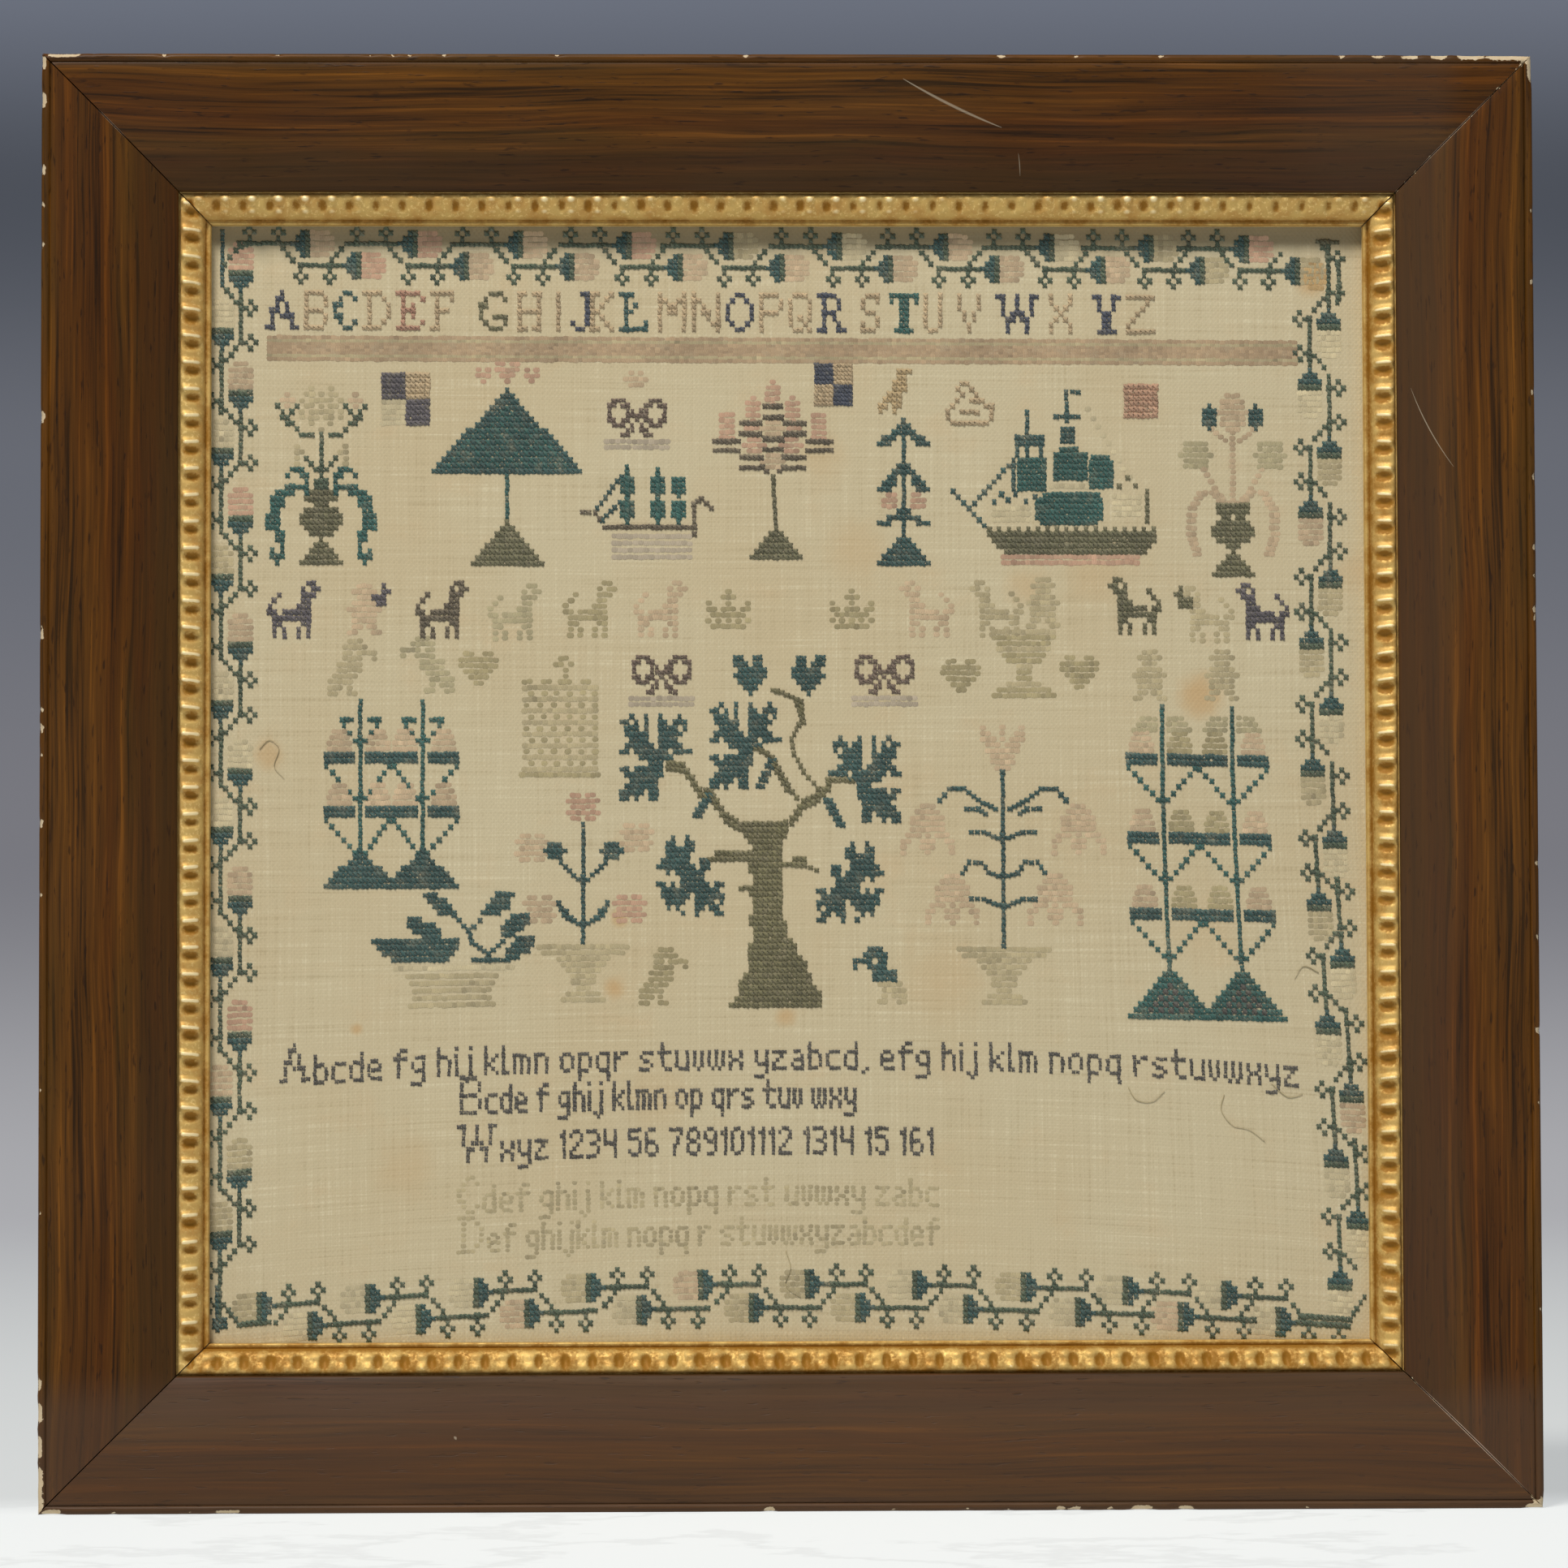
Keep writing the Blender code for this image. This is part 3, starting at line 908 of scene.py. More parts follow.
# painted shade by side, most on the bottom and right, where the light falls fullest
SLIP_PAINTED_SHADE = {"bottom": 0.54, "right": 0.40, "top": 0.04, "left": 0.16}  # in the plain parts of each side
SLIP_STEPS = 16
# painted shade on the sight fillet
FILLET_PAINTED_SHADE = 0.55
FILLET_ROUND = 0.0005
SLIP_FILLET = 0.0014
SLIP_EDGE_HEIGHT = 0.0034
SLIP_CREST = 0.0018
SLIP_BAND = (WOOD_FACE + GAP, SIGHT_EDGE - SLIP_FILLET)
TONGUE_TOP = LIP_UNDERSIDE - GAP
FILLET_TOP = SLIP_RISE + SLIP_EDGE_HEIGHT


def slip_section():
    """Tongue under the lip, the rounded band that carries the ornament, and the flat sight fillet."""
    band = []
    for step in range(SLIP_STEPS + 1):
        share = step / SLIP_STEPS
        base = TONGUE_TOP + (FILLET_TOP - TONGUE_TOP) * share
        inward = SLIP_BAND[0] + (SLIP_BAND[1] - SLIP_BAND[0]) * share
        band.append((inward, base + SLIP_CREST * math.sin(math.pi * share) ** 0.35))
    fillet = arc(SIGHT_EDGE - FILLET_ROUND, FILLET_TOP - FILLET_ROUND, FILLET_ROUND, 90, 0, 3)
    return [(INSERT_EDGE, SLIP_RISE), (INSERT_EDGE, TONGUE_TOP), *band, *fillet, (SIGHT_EDGE, SLIP_RISE)]


def ornament(run, repeat, side):
    """Height of the ornament and how dark its gilding is, both as shares, at a point of the run: grime in
    its hollows, with painted shade on the sight fillet and by side.
    """
    share = (run.y - SLIP_BAND[0]) / (SLIP_BAND[1] - SLIP_BAND[0])
    if run.z < SLIP_RISE + 0.001 or share < 0.0:
        return 0.0, 0.0
    # painted shade on the sight fillet
    if share > 1.0:
        return 0.0, FILLET_PAINTED_SHADE
    number = math.floor(run.x / repeat)
    across = 2 * share - 0.96
    along = run.x / repeat - number
    if side == "right":
        along = 1 - along
    uneven = math.sin(12.9898 * (number + 7 * len(side)) + 4.1)
    width = max(0.0, 1 - abs(across / (0.86 + 0.08 * uneven)) ** 6)
    if side in ("top", "bottom"):
        # two worn beads across the band, and a small cup
        beads = hump(across + 0.5, 0.35) + 0.8 * hump(across - 0.5, 0.3)
        bar = hump(along - 0.2, 0.2) * beads * (0.75 + 0.25 * math.sin(5.7 * number)) * width
        cup = 0.8
    else:
        # one bar across the band, and a full cup
        bar = hump(along - 0.22 - 0.05 * uneven * across, 0.13) * width
        cup = 1.0
    from_cup = abs((along - 0.55) / cup / (0.25 + 0.03 * uneven))
    around = (abs(across / cup / 0.78) ** 2.5 + from_cup**2.5) ** 0.4
    pit = max(0.0, 1 - around**1.3)
    lobe = hump(along - 0.88, 0.12) * width
    gutter = hump(1 - share, 0.07)
    height = (0.85 + 0.15 * uneven) * bar - 0.8 * pit + 0.1 * lobe - 0.4 * gutter
    # grime in the pit and the gutter; painted shade over the plain parts, most on the bottom and right; the
    # bars kept clear take the painted highlight
    hollow = 1.1 * pit + 0.45 * gutter + (0.16 + SLIP_PAINTED_SHADE[side]) * (1 - bar)
    return height, hollow


def build_gilt_slip(settings, finish):
    """Four mitred lengths of slip with a running cup ornament."""
    section = slip_section()
    for side in SIDES:
        length = side_length(side) - 2 * WOOD_FACE
        cuts = round(length / settings.repeat * settings.steps)

        def shape(run, side=side):
            height = ornament(run, settings.repeat, side)[0]
            return run.x, run.y, run.z + settings.relief * height

        def hollow(run, side=side):
            return max(0.0, ornament(run, settings.repeat, side)[1])

        bm = sweep_member(side, section, cuts, shape, {"hollow": hollow})
        piece = new_piece("gilt_slip_" + side, bm, finish)
        piece.data.shade_smooth()
        piece.data.set_sharp_from_angle(angle=math.radians(60))
        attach(piece, "root")
        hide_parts("slip_" + side)


# ---------------------------------------------------------------- linen ground


DRIFT = 5  # columns to the right, in the lower right
SAG = 4.2  # rows down, at the lower corners
TILT = 1.1  # rows down, at the right end of the upper rows


def counted_place(column, row):
    """Place on the cloth, as x and z, of a place counted from the top left of the opening.

    The threads run true in the middle. They drift to the right in the lower right, and sag at the
    lower corners, and the upper rows fall a little to the right."""
    column = np.asarray(column, float)
    row = np.asarray(row, float)
    from_middle = (column - COLUMNS / 2) / (COLUMNS / 2)
    low_right = eased((row - 88) / 90) * eased((column - 150) / 80)
    sag = eased((row - 110) / 60) * SAG * from_middle**2
    tilt = TILT * np.clip(column / COLUMNS, 0, 1) * (1 - eased((row - 10) / 60))
    return SIGHT_LEFT + COLUMN * (column + DRIFT * low_right), SIGHT_TOP - ROW * (row + sag + tilt)


def cloth_front(x, z, ripple):
    """The y of the cloth's front, which rises unevenly towards the viewer away from its edges."""
    across = np.clip((x - CLOTH_LOW.x) / (CLOTH_HIGH.x - CLOTH_LOW.x), 0, 1)
    up = np.clip((z - CLOTH_LOW.z) / (CLOTH_HIGH.z - CLOTH_LOW.z), 0, 1)
    fade = np.sqrt(np.sin(math.pi * across) * np.sin(math.pi * up))
    broad = np.sin(2 * math.pi * (1.3 * across + 0.4 * up))
    narrow = np.sin(2 * math.pi * (2.1 * up - 0.7 * across))
    flat = CLOTH_LOW.y + ripple
    return flat - ripple * fade * (0.5 + 0.3 * broad + 0.2 * narrow)


# column, row, radius in metres and strength of the marks on the cloth
STAINS = (
    (204, 81, 0.0085, 0.62),
    (228, 8, 0.0062, 0.85),
    (12, 91, 0.0060, 0.45),
    (126, 40, 0.0090, 0.22),
    (133, 56, 0.0120, 0.24),
    (84, 119, 0.0034, 0.70),
    (83, 131, 0.0040, 0.60),
    (118, 136, 0.0040, 0.55),
    (30, 137, 0.0024, 0.60),
    (182, 60, 0.0110, 0.22),
    (150, 130, 0.0150, 0.18),
    (204, 120, 0.0160, 0.18),
    (92, 150, 0.0130, 0.14),
    (40, 160, 0.0120, 0.20),
    (168, 62, 0.0080, 0.30),
    (236, 60, 0.0080, 0.20),
)


def build_cloth(settings, finish):
    """The whole ground, from cut edge to cut edge, pinned flat under the slip."""
    wide = CLOTH_HIGH.x - CLOTH_LOW.x
    high = CLOTH_HIGH.z - CLOTH_LOW.z
    bm = bmesh.new()
    bmesh.ops.create_grid(bm, x_segments=settings.cells, y_segments=settings.cells, size=0.5)
    threads = bm.verts.layers.float_vector.new("threads")
    for vert in bm.verts:
        x = vert.co.x * wide
        z = HEIGHT / 2 + vert.co.y * high
        column = (x - SIGHT_LEFT) / COLUMN
        row = (SIGHT_TOP - z) / ROW
        drawn_x, drawn_z = counted_place(column, row)
        aside, down = float(drawn_x - x) / COLUMN, float(z - drawn_z) / ROW
        vert[threads] = (column - aside, row - down, 0.0)
        vert.co = (x, float(cloth_front(x, z, settings.ripple)), z)
    bm.faces.ensure_lookup_table()
    bm.faces[0].normal_update()
    if bm.faces[0].normal.y > 0:
        bmesh.ops.reverse_faces(bm, faces=bm.faces)
    piece = new_piece("linen_ground", bm, finish)
    piece.data.shade_smooth()
    solid = piece.modifiers.new("Thickness", "SOLIDIFY")
    solid.thickness = settings.thickness
    solid.offset = -1.0
    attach(piece, "root")
    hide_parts("sampler_cloth")
    return piece


# ---------------------------------------------------------------- charts


class Chart:
    """Stitches counted over the threads: columns to the right and rows down from the top left."""

    def __init__(self):
        self.stitches = {}

    def put(self, column, row, dye, size=1.0):
        if dye in DYES:
            self.stitches[(round(column * 2), round(row * 2))] = (column, row, dye, size)

    def run(self, start, end, dye, every=1.0):
        """A line of stitches, one to each thread of its longer way, or to every so many."""
        (c0, r0), (c1, r1) = start, end
        steps = max(1, round(max(abs(c1 - c0), abs(r1 - r0)) / every))
        for step in range(steps + 1):
            share = step / steps
            self.put(round(c0 + (c1 - c0) * share - 0.5, 1), round(r0 + (r1 - r0) * share - 0.5, 1), dye)

    def way(self, points, dye, every=1.0):
        for start, end in zip(points, points[1:]):
            self.run(start, end, dye, every)

    def block(self, left, top, wide, high, dye):
        for row in range(high):
            for column in range(wide):
                self.put(left + column, top + row, dye)

    def rows(self, left, top, chart, dye=None, flip=False, pitch=(1.0, 1.0), size=1.0):
        """A chart written row by row. "#" is worked in the dye given."""
        for row, line in enumerate(chart.split("/")):
            for column, mark in enumerate(reversed(line) if flip else line):
                self.put(left + column * pitch[0], top + row * pitch[1], dye if mark == "#" else mark, size)

    def halves(self, centre, top, chart, dye=None):
        """A chart of the right half, its first mark on the centre column, worked on both sides."""
        centre -= 0.5
        for row, line in enumerate(chart.split("/")):
            for offset, mark in enumerate(line):
                for column in (centre - offset, centre + offset):
                    self.put(column, top + row, dye if mark == "#" else mark)

    def spire(self, centre, top, high, half, dye, fill=None):
        """A triangle from its apex down to a base of the given half width."""
        centre -= 0.5
        for row in range(high):
            edge = round(half * row / (high - 1))
            for column in range(-edge, edge + 1):
                inside = fill and abs(column) < edge - 1 and row < high - 1
                speck = fill if inside and (column + row) % 2 else dye
                self.put(centre + column, top + row, speck)

    def oval(self, centre, middle, wide, high, dye, hollow=False):
        """A filled or hollow oval of the given half sizes."""
        centre, middle = centre - 0.5, middle - 0.5
        for row in range(-math.floor(high), math.floor(high) + 1):
            reach = math.floor(wide * math.sqrt(max(0.0, 1 - (row / (high + 0.3)) ** 2)) + 0.3)
            for column in range(-reach, reach + 1):
                if hollow and abs(column) < reach - 0.5 and abs(row) < high - 0.9:
                    continue
                self.put(centre + column, middle + row, dye)


# Capitals seven rows high
CAPITALS = {
    "A": "...#.../..##.../..#.#../.##.#../.#.###./.#...#./##...##",
    "B": "####./#...#/#...#/####./#...#/#...#/####.",
    "C": "..##./.#..#/##.../#..../##.../.#..#/..##.",
    "D": "####../.#..#./.#...#/.#...#/.#...#/.#..#./####..",
    "E": "#####./.#...#/.#.#../.###../.#.#../.#...#/#####.",
    "F": "#####/.#..#/.#.../.###./.#.../.#.../##...",
    "G": "..###./.#...#/##..../#...../#..###/.#...#/..###.",
    "H": "##.##/#...#/#...#/#####/#...#/#...#/##.##",
    "I": ".#/.#/.#/.#/.#/.#/.#",
    "J": "..##/...#/...#/...#/...#/#..#/.##.",
    "K": "##..#/#..#./#.#../##.../#.#../#..#./##..#",
    "L": "###.../.#..../.#.#../.##.../.#..../.#...#/######",
    "M": "#....#/##..##/#.##.#/#.##.#/#....#/#....#/#....#",
    "N": "#....#/##...#/#.#..#/#.##.#/#..#.#/#...##/#....#",
    "O": "..##../.#..#./#....#/#....#/#....#/.#..#./..##..",
    "P": "####./#...#/#...#/####./#..../#..../#....",
    "Q": ".###./#...#/#...#/#...#/#.#.#/#..#./.##.#",
    "R": "####../.#..#./.#..#./.###../.#.#../.#..#./##..##",
    "S": ".###/#..#/#.../.##./...#/#..#/###.",
    "T": "######/#.##.#/..##../..##../..##../..##../.####.",
    "U": "#..#/#..#/#..#/#..#/#..#/#..#/.##.",
    "V": "#...#/#...#/#...#/.#.#./.#.#./..#../..#..",
    "W": "##..#..##/.#..#..#./.#..#..#./.#.###.#./..##.##../..#...#../..#...#..",
    "X": "#...#/#...#/.#.#./..#../.#.#./#...#/#...#",
    "Y": "##..##/.#..#./.#..#./..##../..##../..##../.####.",
    "Z": "######/....#./...#../..#.../.#..../#...../######",
}
# Small letters and figures: the row they start on, counted from the top of the small letters, and the chart
SMALL = {
    "a": (0, ".##./...#/.###/#..#/.###"),
    "b": (-2, "#.../#.../###./#..#/#..#/#..#/###."),
    "c": (0, ".###/#.../#.../#.../.###"),
    "d": (-2, "...#/...#/.###/#..#/#..#/#..#/.###"),
    "e": (0, ".##./#..#/####/#.../.###"),
    "f": (-2, "..##/.#../####/.#../.#../.#../.#.."),
    "g": (0, ".###/#..#/#..#/.###/...#/...#/###."),
    "h": (-2, "#.../#.../###./#..#/#..#/#..#/#..#"),
    "i": (-2, "#/./#/#/#/#/#"),
    "j": (-2, "..#/.../..#/..#/..#/..#/..#/#.#/.#."),
    "k": (-2, "#.../#.../#..#/#.#./##../#.#./#..#"),
    "l": (-2, "#./#./#./#./#./#./##"),
    "m": (0, "####./#.#.#/#.#.#/#.#.#/#.#.#"),
    "n": (0, "###./#..#/#..#/#..#/#..#"),
    "o": (0, ".##./#..#/#..#/#..#/.##."),
    "p": (0, "###./#..#/#..#/#..#/###./#.../#..."),
    "q": (0, ".###/#..#/#..#/#..#/.###/...#/...#"),
    "r": (0, "#.##/##../#.../#.../#..."),
    "s": (0, ".###/#.../.##./...#/###."),
    "t": (-2, ".#../.#../####/.#../.#../.#../..##"),
    "u": (0, "#..#/#..#/#..#/#..#/.###"),
    "v": (0, "#.#/#.#/#.#/#.#/.#."),
    "w": (0, "#.#.#/#.#.#/#.#.#/#.#.#/.#.#."),
    "x": (0, "#..#/#..#/.##./#..#/#..#"),
    "y": (0, "#..#/#..#/#..#/.###/...#/...#/###."),
    "z": (0, "####/..#./.#../#.../####"),
    "0": (-2, ".##./#..#/#..#/#..#/#..#/#..#/.##."),
    "1": (-2, ".#/##/.#/.#/.#/.#/.#"),
    "2": (-2, ".##./#..#/...#/..#./.#../#.../####"),
    "3": (-2, "###./...#/...#/.##./...#/...#/###."),
    "4": (-2, "#..#/#..#/#..#/####/...#/...#/...#"),
    "5": (-2, "####/#.../###./...#/...#/#..#/.##."),
    "6": (-2, ".##./#.../#.../###./#..#/#..#/.##."),
    "7": (-2, "####/...#/..#./..#./.#../.#../.#.."),
    "8": (-2, ".##./#..#/#..#/.##./#..#/#..#/.##."),
    "9": (-2, ".##./#..#/#..#/.###/...#/...#/.##."),
    ",": (4, ".#/#."),
}
SMALL_PITCH = 0.70  # of a full stitch


def vine_unit(chart, place, dyes, lag):
    """One repeat of the border: a flowering stem along its outer edge and one along its inner edge."""

    def put(step, level, dye):
        chart.put(*place(step, level), dye)

    for start, level, way, fruit in ((0, 0, -1, dyes[0]), (12 + lag, 4, 1, dyes[1])):
        last = 14 if level == 0 else 11
        for step in range(last):
            put(start + step, level, "s")
        for middle in (2, 8) if level == 0 else (0, 6):
            for step, out in ((0, 3), (-1, 2), (1, 2), (0, 1)):
                put(start + middle + step, level + way * out, "s")
        cap = 11 if level == 0 else 9
        for step, half in ((0, 0), (1, 1), (2, 2), (3, 2)):
            for out in range(-half, half + 1):
                put(start + cap + step, level + out, "d" if step < 3 else "s")
        for step, half in ((4, 2), (5, 2), (6, 2), (7, 2), (8, 1)):
            for out in range(-half, half + 1):
                put(start + cap + step, level + out, fruit)
    for step in range(1, 4):
        put(8 + step, step, "s")
        put(18 + step, 4 - step, "s")


# dyes of the fruits on the outer and on the inner stem of each side
FRUITS = {
    "top": ("xpgwpg", "xpxpgf"),
    "right": ("pwgwwg", "pwpwgg"),
    "bottom": ("wwgwpw", "pwgwgw"),
    "left": ("pwgwpg", "xpxpgw"),
}
# where each repeat of the vine starts, and how much later than even its inner stem flowers
VINES = {
    "top": ((6, 28.2, 50, 72.4, 93.5, 116, 138, 160, 180.6, 200.4), 0.6),
    "right": ((1.8, 24.5, 47.4, 69.4, 92.4, 112.2, 133.4, 154), 0.6),
    "bottom": ((34, 56.2, 78.4, 101.4, 124.4, 146.3, 168.4, 190.2, 209.6, 228.2), 0.4),
    "left": ((31.5, 52.2, 73.9, 95.6, 117.3, 139, 160.7, 182.4), 0.0),
}


def border_chart(side):
    """The vine along one side, with its corner."""
    chart = Chart()
    chance = random.Random("fruit " + side)
    starts, lag = VINES[side]
    place = {
        "top": lambda start, t, v: (start + t - 0.8, 2.3 + 0.94 * v),
        "right": lambda start, t, v: (230.6 - v, start + t),
        "bottom": lambda start, t, v: (round(start - t, 1), 185.2 - v),
        "left": lambda start, t, v: (1.5 + v, round(start - t, 1)),
    }[side]
    for start in starts:
        dyes = [chance.choice(FRUITS[side][stem]) for stem in (0, 1)]
        vine_unit(chart, lambda t, v, start=start: place(start, t, v), dyes, lag)
    if side == "top":
        chart.run((2.2, 1), (2.2, 10), "d")
        chart.way([(2.5, 6.5), (5, 4), (7, 3)], "s")
    elif side == "right":
        chart.run((229, 1.5), (233, 1.5), "k")
        chart.way([(230, 2.5), (233, 5), (233.5, 9), (233, 12)], "s")
        chart.oval(228.5, 7.5, 2, 2.3, "y")
    elif side == "bottom":
        chart.block(0.5, 183, 3, 2, "d")
        chart.way([(1.5, 178), (1.5, 185)], "d")
        chart.way([(3, 181), (6, 184.5), (12, 184.5)], "s")
        chart.way([(219, 184.5), (229, 184.5), (232, 180.5)], "s")
    return chart


# letter, first column and dye
ALPHABET = (
    "A11n B19e C25d D31e E38i F45e G55k H63e I70e J74n K78e L84d M92e N99e O106n P113e Q119e "
    "R125n S134e T140t U147e V154e W162n X173e Y182n Z189e"
)


def alphabet_chart():
    """Capitals in turn bright and faded, over a long faded band."""
    chart = Chart()
    for entry in ALPHABET.split():
        letter, column, dye = entry[0], float(entry[1:-1]), entry[-1]
        chart.rows(column, 10.8, CAPITALS[letter], dye)
    for step, dye in enumerate("bgbbbbgb"):
        chart.run((12, 19.1 + 0.52 * step), (224, 19.1 + 0.52 * step), dye)
    return chart


LEFT_URN = (
    "..g./g.gg...p/ggg.g.ppp/g.gg.s.p.s/ggg.g.s.s/.gg.g..ss/..g...ss/g....s/s.sss/s/s....g/s...gg/s..s.g"
    "/s.s..g/ss..ttt/s..tt..t/ss.t/ss.ttttt/kkkt..tttt/kkkk....ttt/kk......ttt/kkkk.....tt/kkkkk....ttt"
    "/kkkkk....ttt/kkkk.....ttt/kkk.....tt/k.......tt/kk......t/kkk.....t.t/kkkk....ttt/kkkkk....t"
)
BLACK_URN = "kkkk/kkkk/.kk/kkkk/kkkkk/kkkkk/kkkk/kk/k/kk/kkk/kkkk/kkkkk"
ARROW_TREE = (
    "d/dd/ddd/d.ddd/d..ddd/d/d/d/dd/ddd/d.dd/d.ddd/d..ddd/d.xx/d.xxx/d.xxx/dd/dddd/d..ddd"
    "/d/d/dd/ddd/dddd/ddddd/dddddd"
)
DOG = (
    "........##./.......#.##/..#....###./.#.....##../#.....###../##.######../.########../.##....##.."
    "/.#.#..#.#../.#.#..#.#.."
)
BIRD = "..#./..##/###./###."
WIDE_HEART = ".##..##./########/########/.######./..####../...##..."
LEAF = "##..##./###.##./.######/#######/.#####./..###../...#..."
# three leaves that share a twig, which is low on the right in the first and high on the right in the second
TWO_UP = (
    "..#..#..#...#../##.#.#..##.###./.###.#..####.#./.#####..#####../..####..####.../.######.#####.."
    "/##.#######.####/....#######..../......###....../##.######....../.########....../..######......."
    "/.#######......./#####.##......./##.#..##......."
)
TWO_DOWN = (
    "...#..#......../..##..##......./..######......./..#####......../.######..##..../########.##...."
    "/..#.######...../.....#####...../##.#.######.##./.############../.######.######./..####..####.#."
    "/..#.#...##.##../.....#..#...##."
)
CROWN = "....#..../...###.../#...#...#/##.###.##/.#######./#.#.#.#.#/.#######."
FLOWER = ".##.##./#######/.#####./#######/.##.##."
SWAN = "....##...../...#..#..../....#..#.../...#..###../..#......##/.#..####..#/.#........#/..########."
TULIP = "#...#...#/##..#..##/###.#.###/.###.###./.#######./..#####../..#####../...###..."
BLOOM = (
    "....###..../...#####.../..#######../..#######../..#######../.###.#.###./##..###..##/#...###...#"
    "/#....#....#"
)
GHOST_POT = "/".join(("#" * wide).center(19, ".") for wide in (19, 17, 11, 9, 7, 5, 5, 3, 7, 9))
PERCHED = (
    "...###..../..#####.../####.##.../#..####.../....#####../....#####../.....#####./......#####"
    "/......#.###/.....##..##"
)
FIGURE = "..###../.#####./..###../.#####./#######/.#####./.#####./.##.##./##...##"
BOW = (
    ".###.....###./##.##...##.##/#...##.##...#/#...#####...#/##.##.#.##.##/.###.#.#.###./....##.##...."
    "/...##...##..."
)


def cypher(chart, left, top):
    """A plain bow of ribbon, with a small faded bud over it and faded lines under it."""
    chart.rows(left + 1, top, BOW, "m", pitch=(0.95, 0.85), size=0.9)
    for row in (top + 7.6, top + 8.6):
        chart.run((left + 1, row), (left + 13.5, row), "l", every=1.1)


def upper_chart():
    """Urns, chequers, parasol tree, ships and small trees above the animals."""
    chart = Chart()
    chart.halves(22.6, 27.4, LEFT_URN)
    right_urn(chart, 211)
    for left, top, wide, high, dark, other in ((35, 25, 5, 4.6, "v", "w"), (124.3, 23, 3.9, 3.7, "n", "e")):
        for across, down, dye in ((0, 0, dark), (1, 1, dark), (1, 0, "e"), (0, 1, other)):
            square = "/".join(["#" * 5] * 5)
            pitch = (wide / 5, high / 5)
            chart.rows(left + across * wide, top + down * high, square, dye, pitch=pitch)
    for centre in (56, 61, 66):
        shape = "##.##/#####/.###./..#.." if centre == 61 else "..../#.#/###/.#."
        chart.rows(centre - (2.5 if centre == 61 else 1.5), 23, shape, "x")
    chart.spire(60.9, 27.6, 15, 15, "d", fill="t")
    chart.run((60.9, 43), (60.9, 51), "t")
    chart.spire(60.9, 50.6, 8, 7, "k")
    cypher(chart, 80.5, 29.3)
    chart.rows(85, 24.5, ".#.#./#####/.###.", "p")
    tiered_tree(chart, 115.8)
    chart.rows(137.5, 24, "....aaa/....aa./...aaa./...aaa./..aaa../.aaaa../aa.aa../a..a...")
    chart.rows(150.5, 26, SWAN, "e")
    chart.halves(142.8, 32.6, ARROW_TREE)
    chart.block(188.5, 26.5, 7, 6, "r")
    small_ship(chart)
    great_ship(chart)
    return chart


def right_urn(chart, centre):
    """A black urn with faded garlands, two dark buds and two round faded flowers."""
    for side in (-1, 1):
        chart.rows(centre + side * 4.8 - 1.5, 29.8, ".#./###/###/###/.#.", "d")
        chart.oval(centre + side * 7.7, 39, 2.8, 2.4, "f")
        chart.way([(centre + side * 6, 41.5), (centre + side * 3, 46), (centre + side, 47.5)], "p")
        chart.run((centre + side * 4.4, 34.5), (centre + side * 1.5, 36.5), "p")
        for out in (0, 0.9):
            garland = ((2, 47), (3.5, 45.6), (6, 45.8), (8, 48.5), (8.3, 53), (7, 56.5))
            chart.way([(centre + side * (c + out), r) for c, r in garland], "p")
    chart.oval(centre, 31.5, 2.7, 3.4, "p")
    chart.run((centre, 35), (centre, 47), "p")
    chart.halves(centre, 47.5, BLACK_URN)


def tiered_tree(chart, centre):
    """Brown bars in tiers with pink fruits between them, on a thin stem and a foot."""
    for row in (30.6, 32.6, 36.4, 38.2):
        chart.run((centre - 1.6, row), (centre + 1.6, row), "c")
    bars = (
        (33.6, 2.6, 6.4), (35.5, 2.6, 6.4), (36.8, 7.2, 12),
        (38.4, 7.2, 12), (39.6, 2.4, 6.4), (41.4, 2.2, 6.4),
    )
    fruits = ((4.4, 34.5, 1.6, 0.4), (3.8, 37.5, 2, 1), (4.1, 31.2, 1.4, 2), (9.5, 34.2, 1.6, 2))
    for side in (-1, 1):
        for row, near, far in bars:
            chart.run((centre + side * near, row), (centre + side * far, row), "c")
        chart.run((centre + side * 1.4, 42), (centre, 43), "c")
        for across, row, wide, high in fruits:
            chart.oval(centre + side * across, row, wide, high, "x")
    chart.oval(centre, 28.4, 0.8, 2, "x")
    for row in (34.5, 40.3):
        chart.oval(centre, row, 1.7, 1.2, "p")
    chart.run((centre, 43), (centre + 0.6, 52), "k")
    chart.spire(centre + 0.6, 51.5, 6, 5, "k")


def small_ship(chart):
    """A brown hull with three short teal masts, over faded lines of water."""
    bow = [(76.5, 49.3), (79, 49.3), (81, 51.8)]
    stern = [(99.5, 51.8), (99.5, 47.8), (101, 46.8), (103, 48.5)]
    chart.way([*bow, *stern], "c")
    chart.put(99, 52.5, "c")
    for mast, top in ((85.7, 41.3), (92, 41.8), (96.3, 43.5)):
        chart.run((mast, top), (mast, 51), "t")
        for blob in (44.5, 48.7):
            chart.oval(mast, blob, 1.3, 1, "t")
    chart.run((84.5, 43), (79.5, 48.5), "d")
    chart.run((84, 47.5), (80.5, 50.5), "d")
    for row in (53.4, 54.6, 55.8, 57):
        chart.run((83, row), (98.5, row), "l", every=1.1)


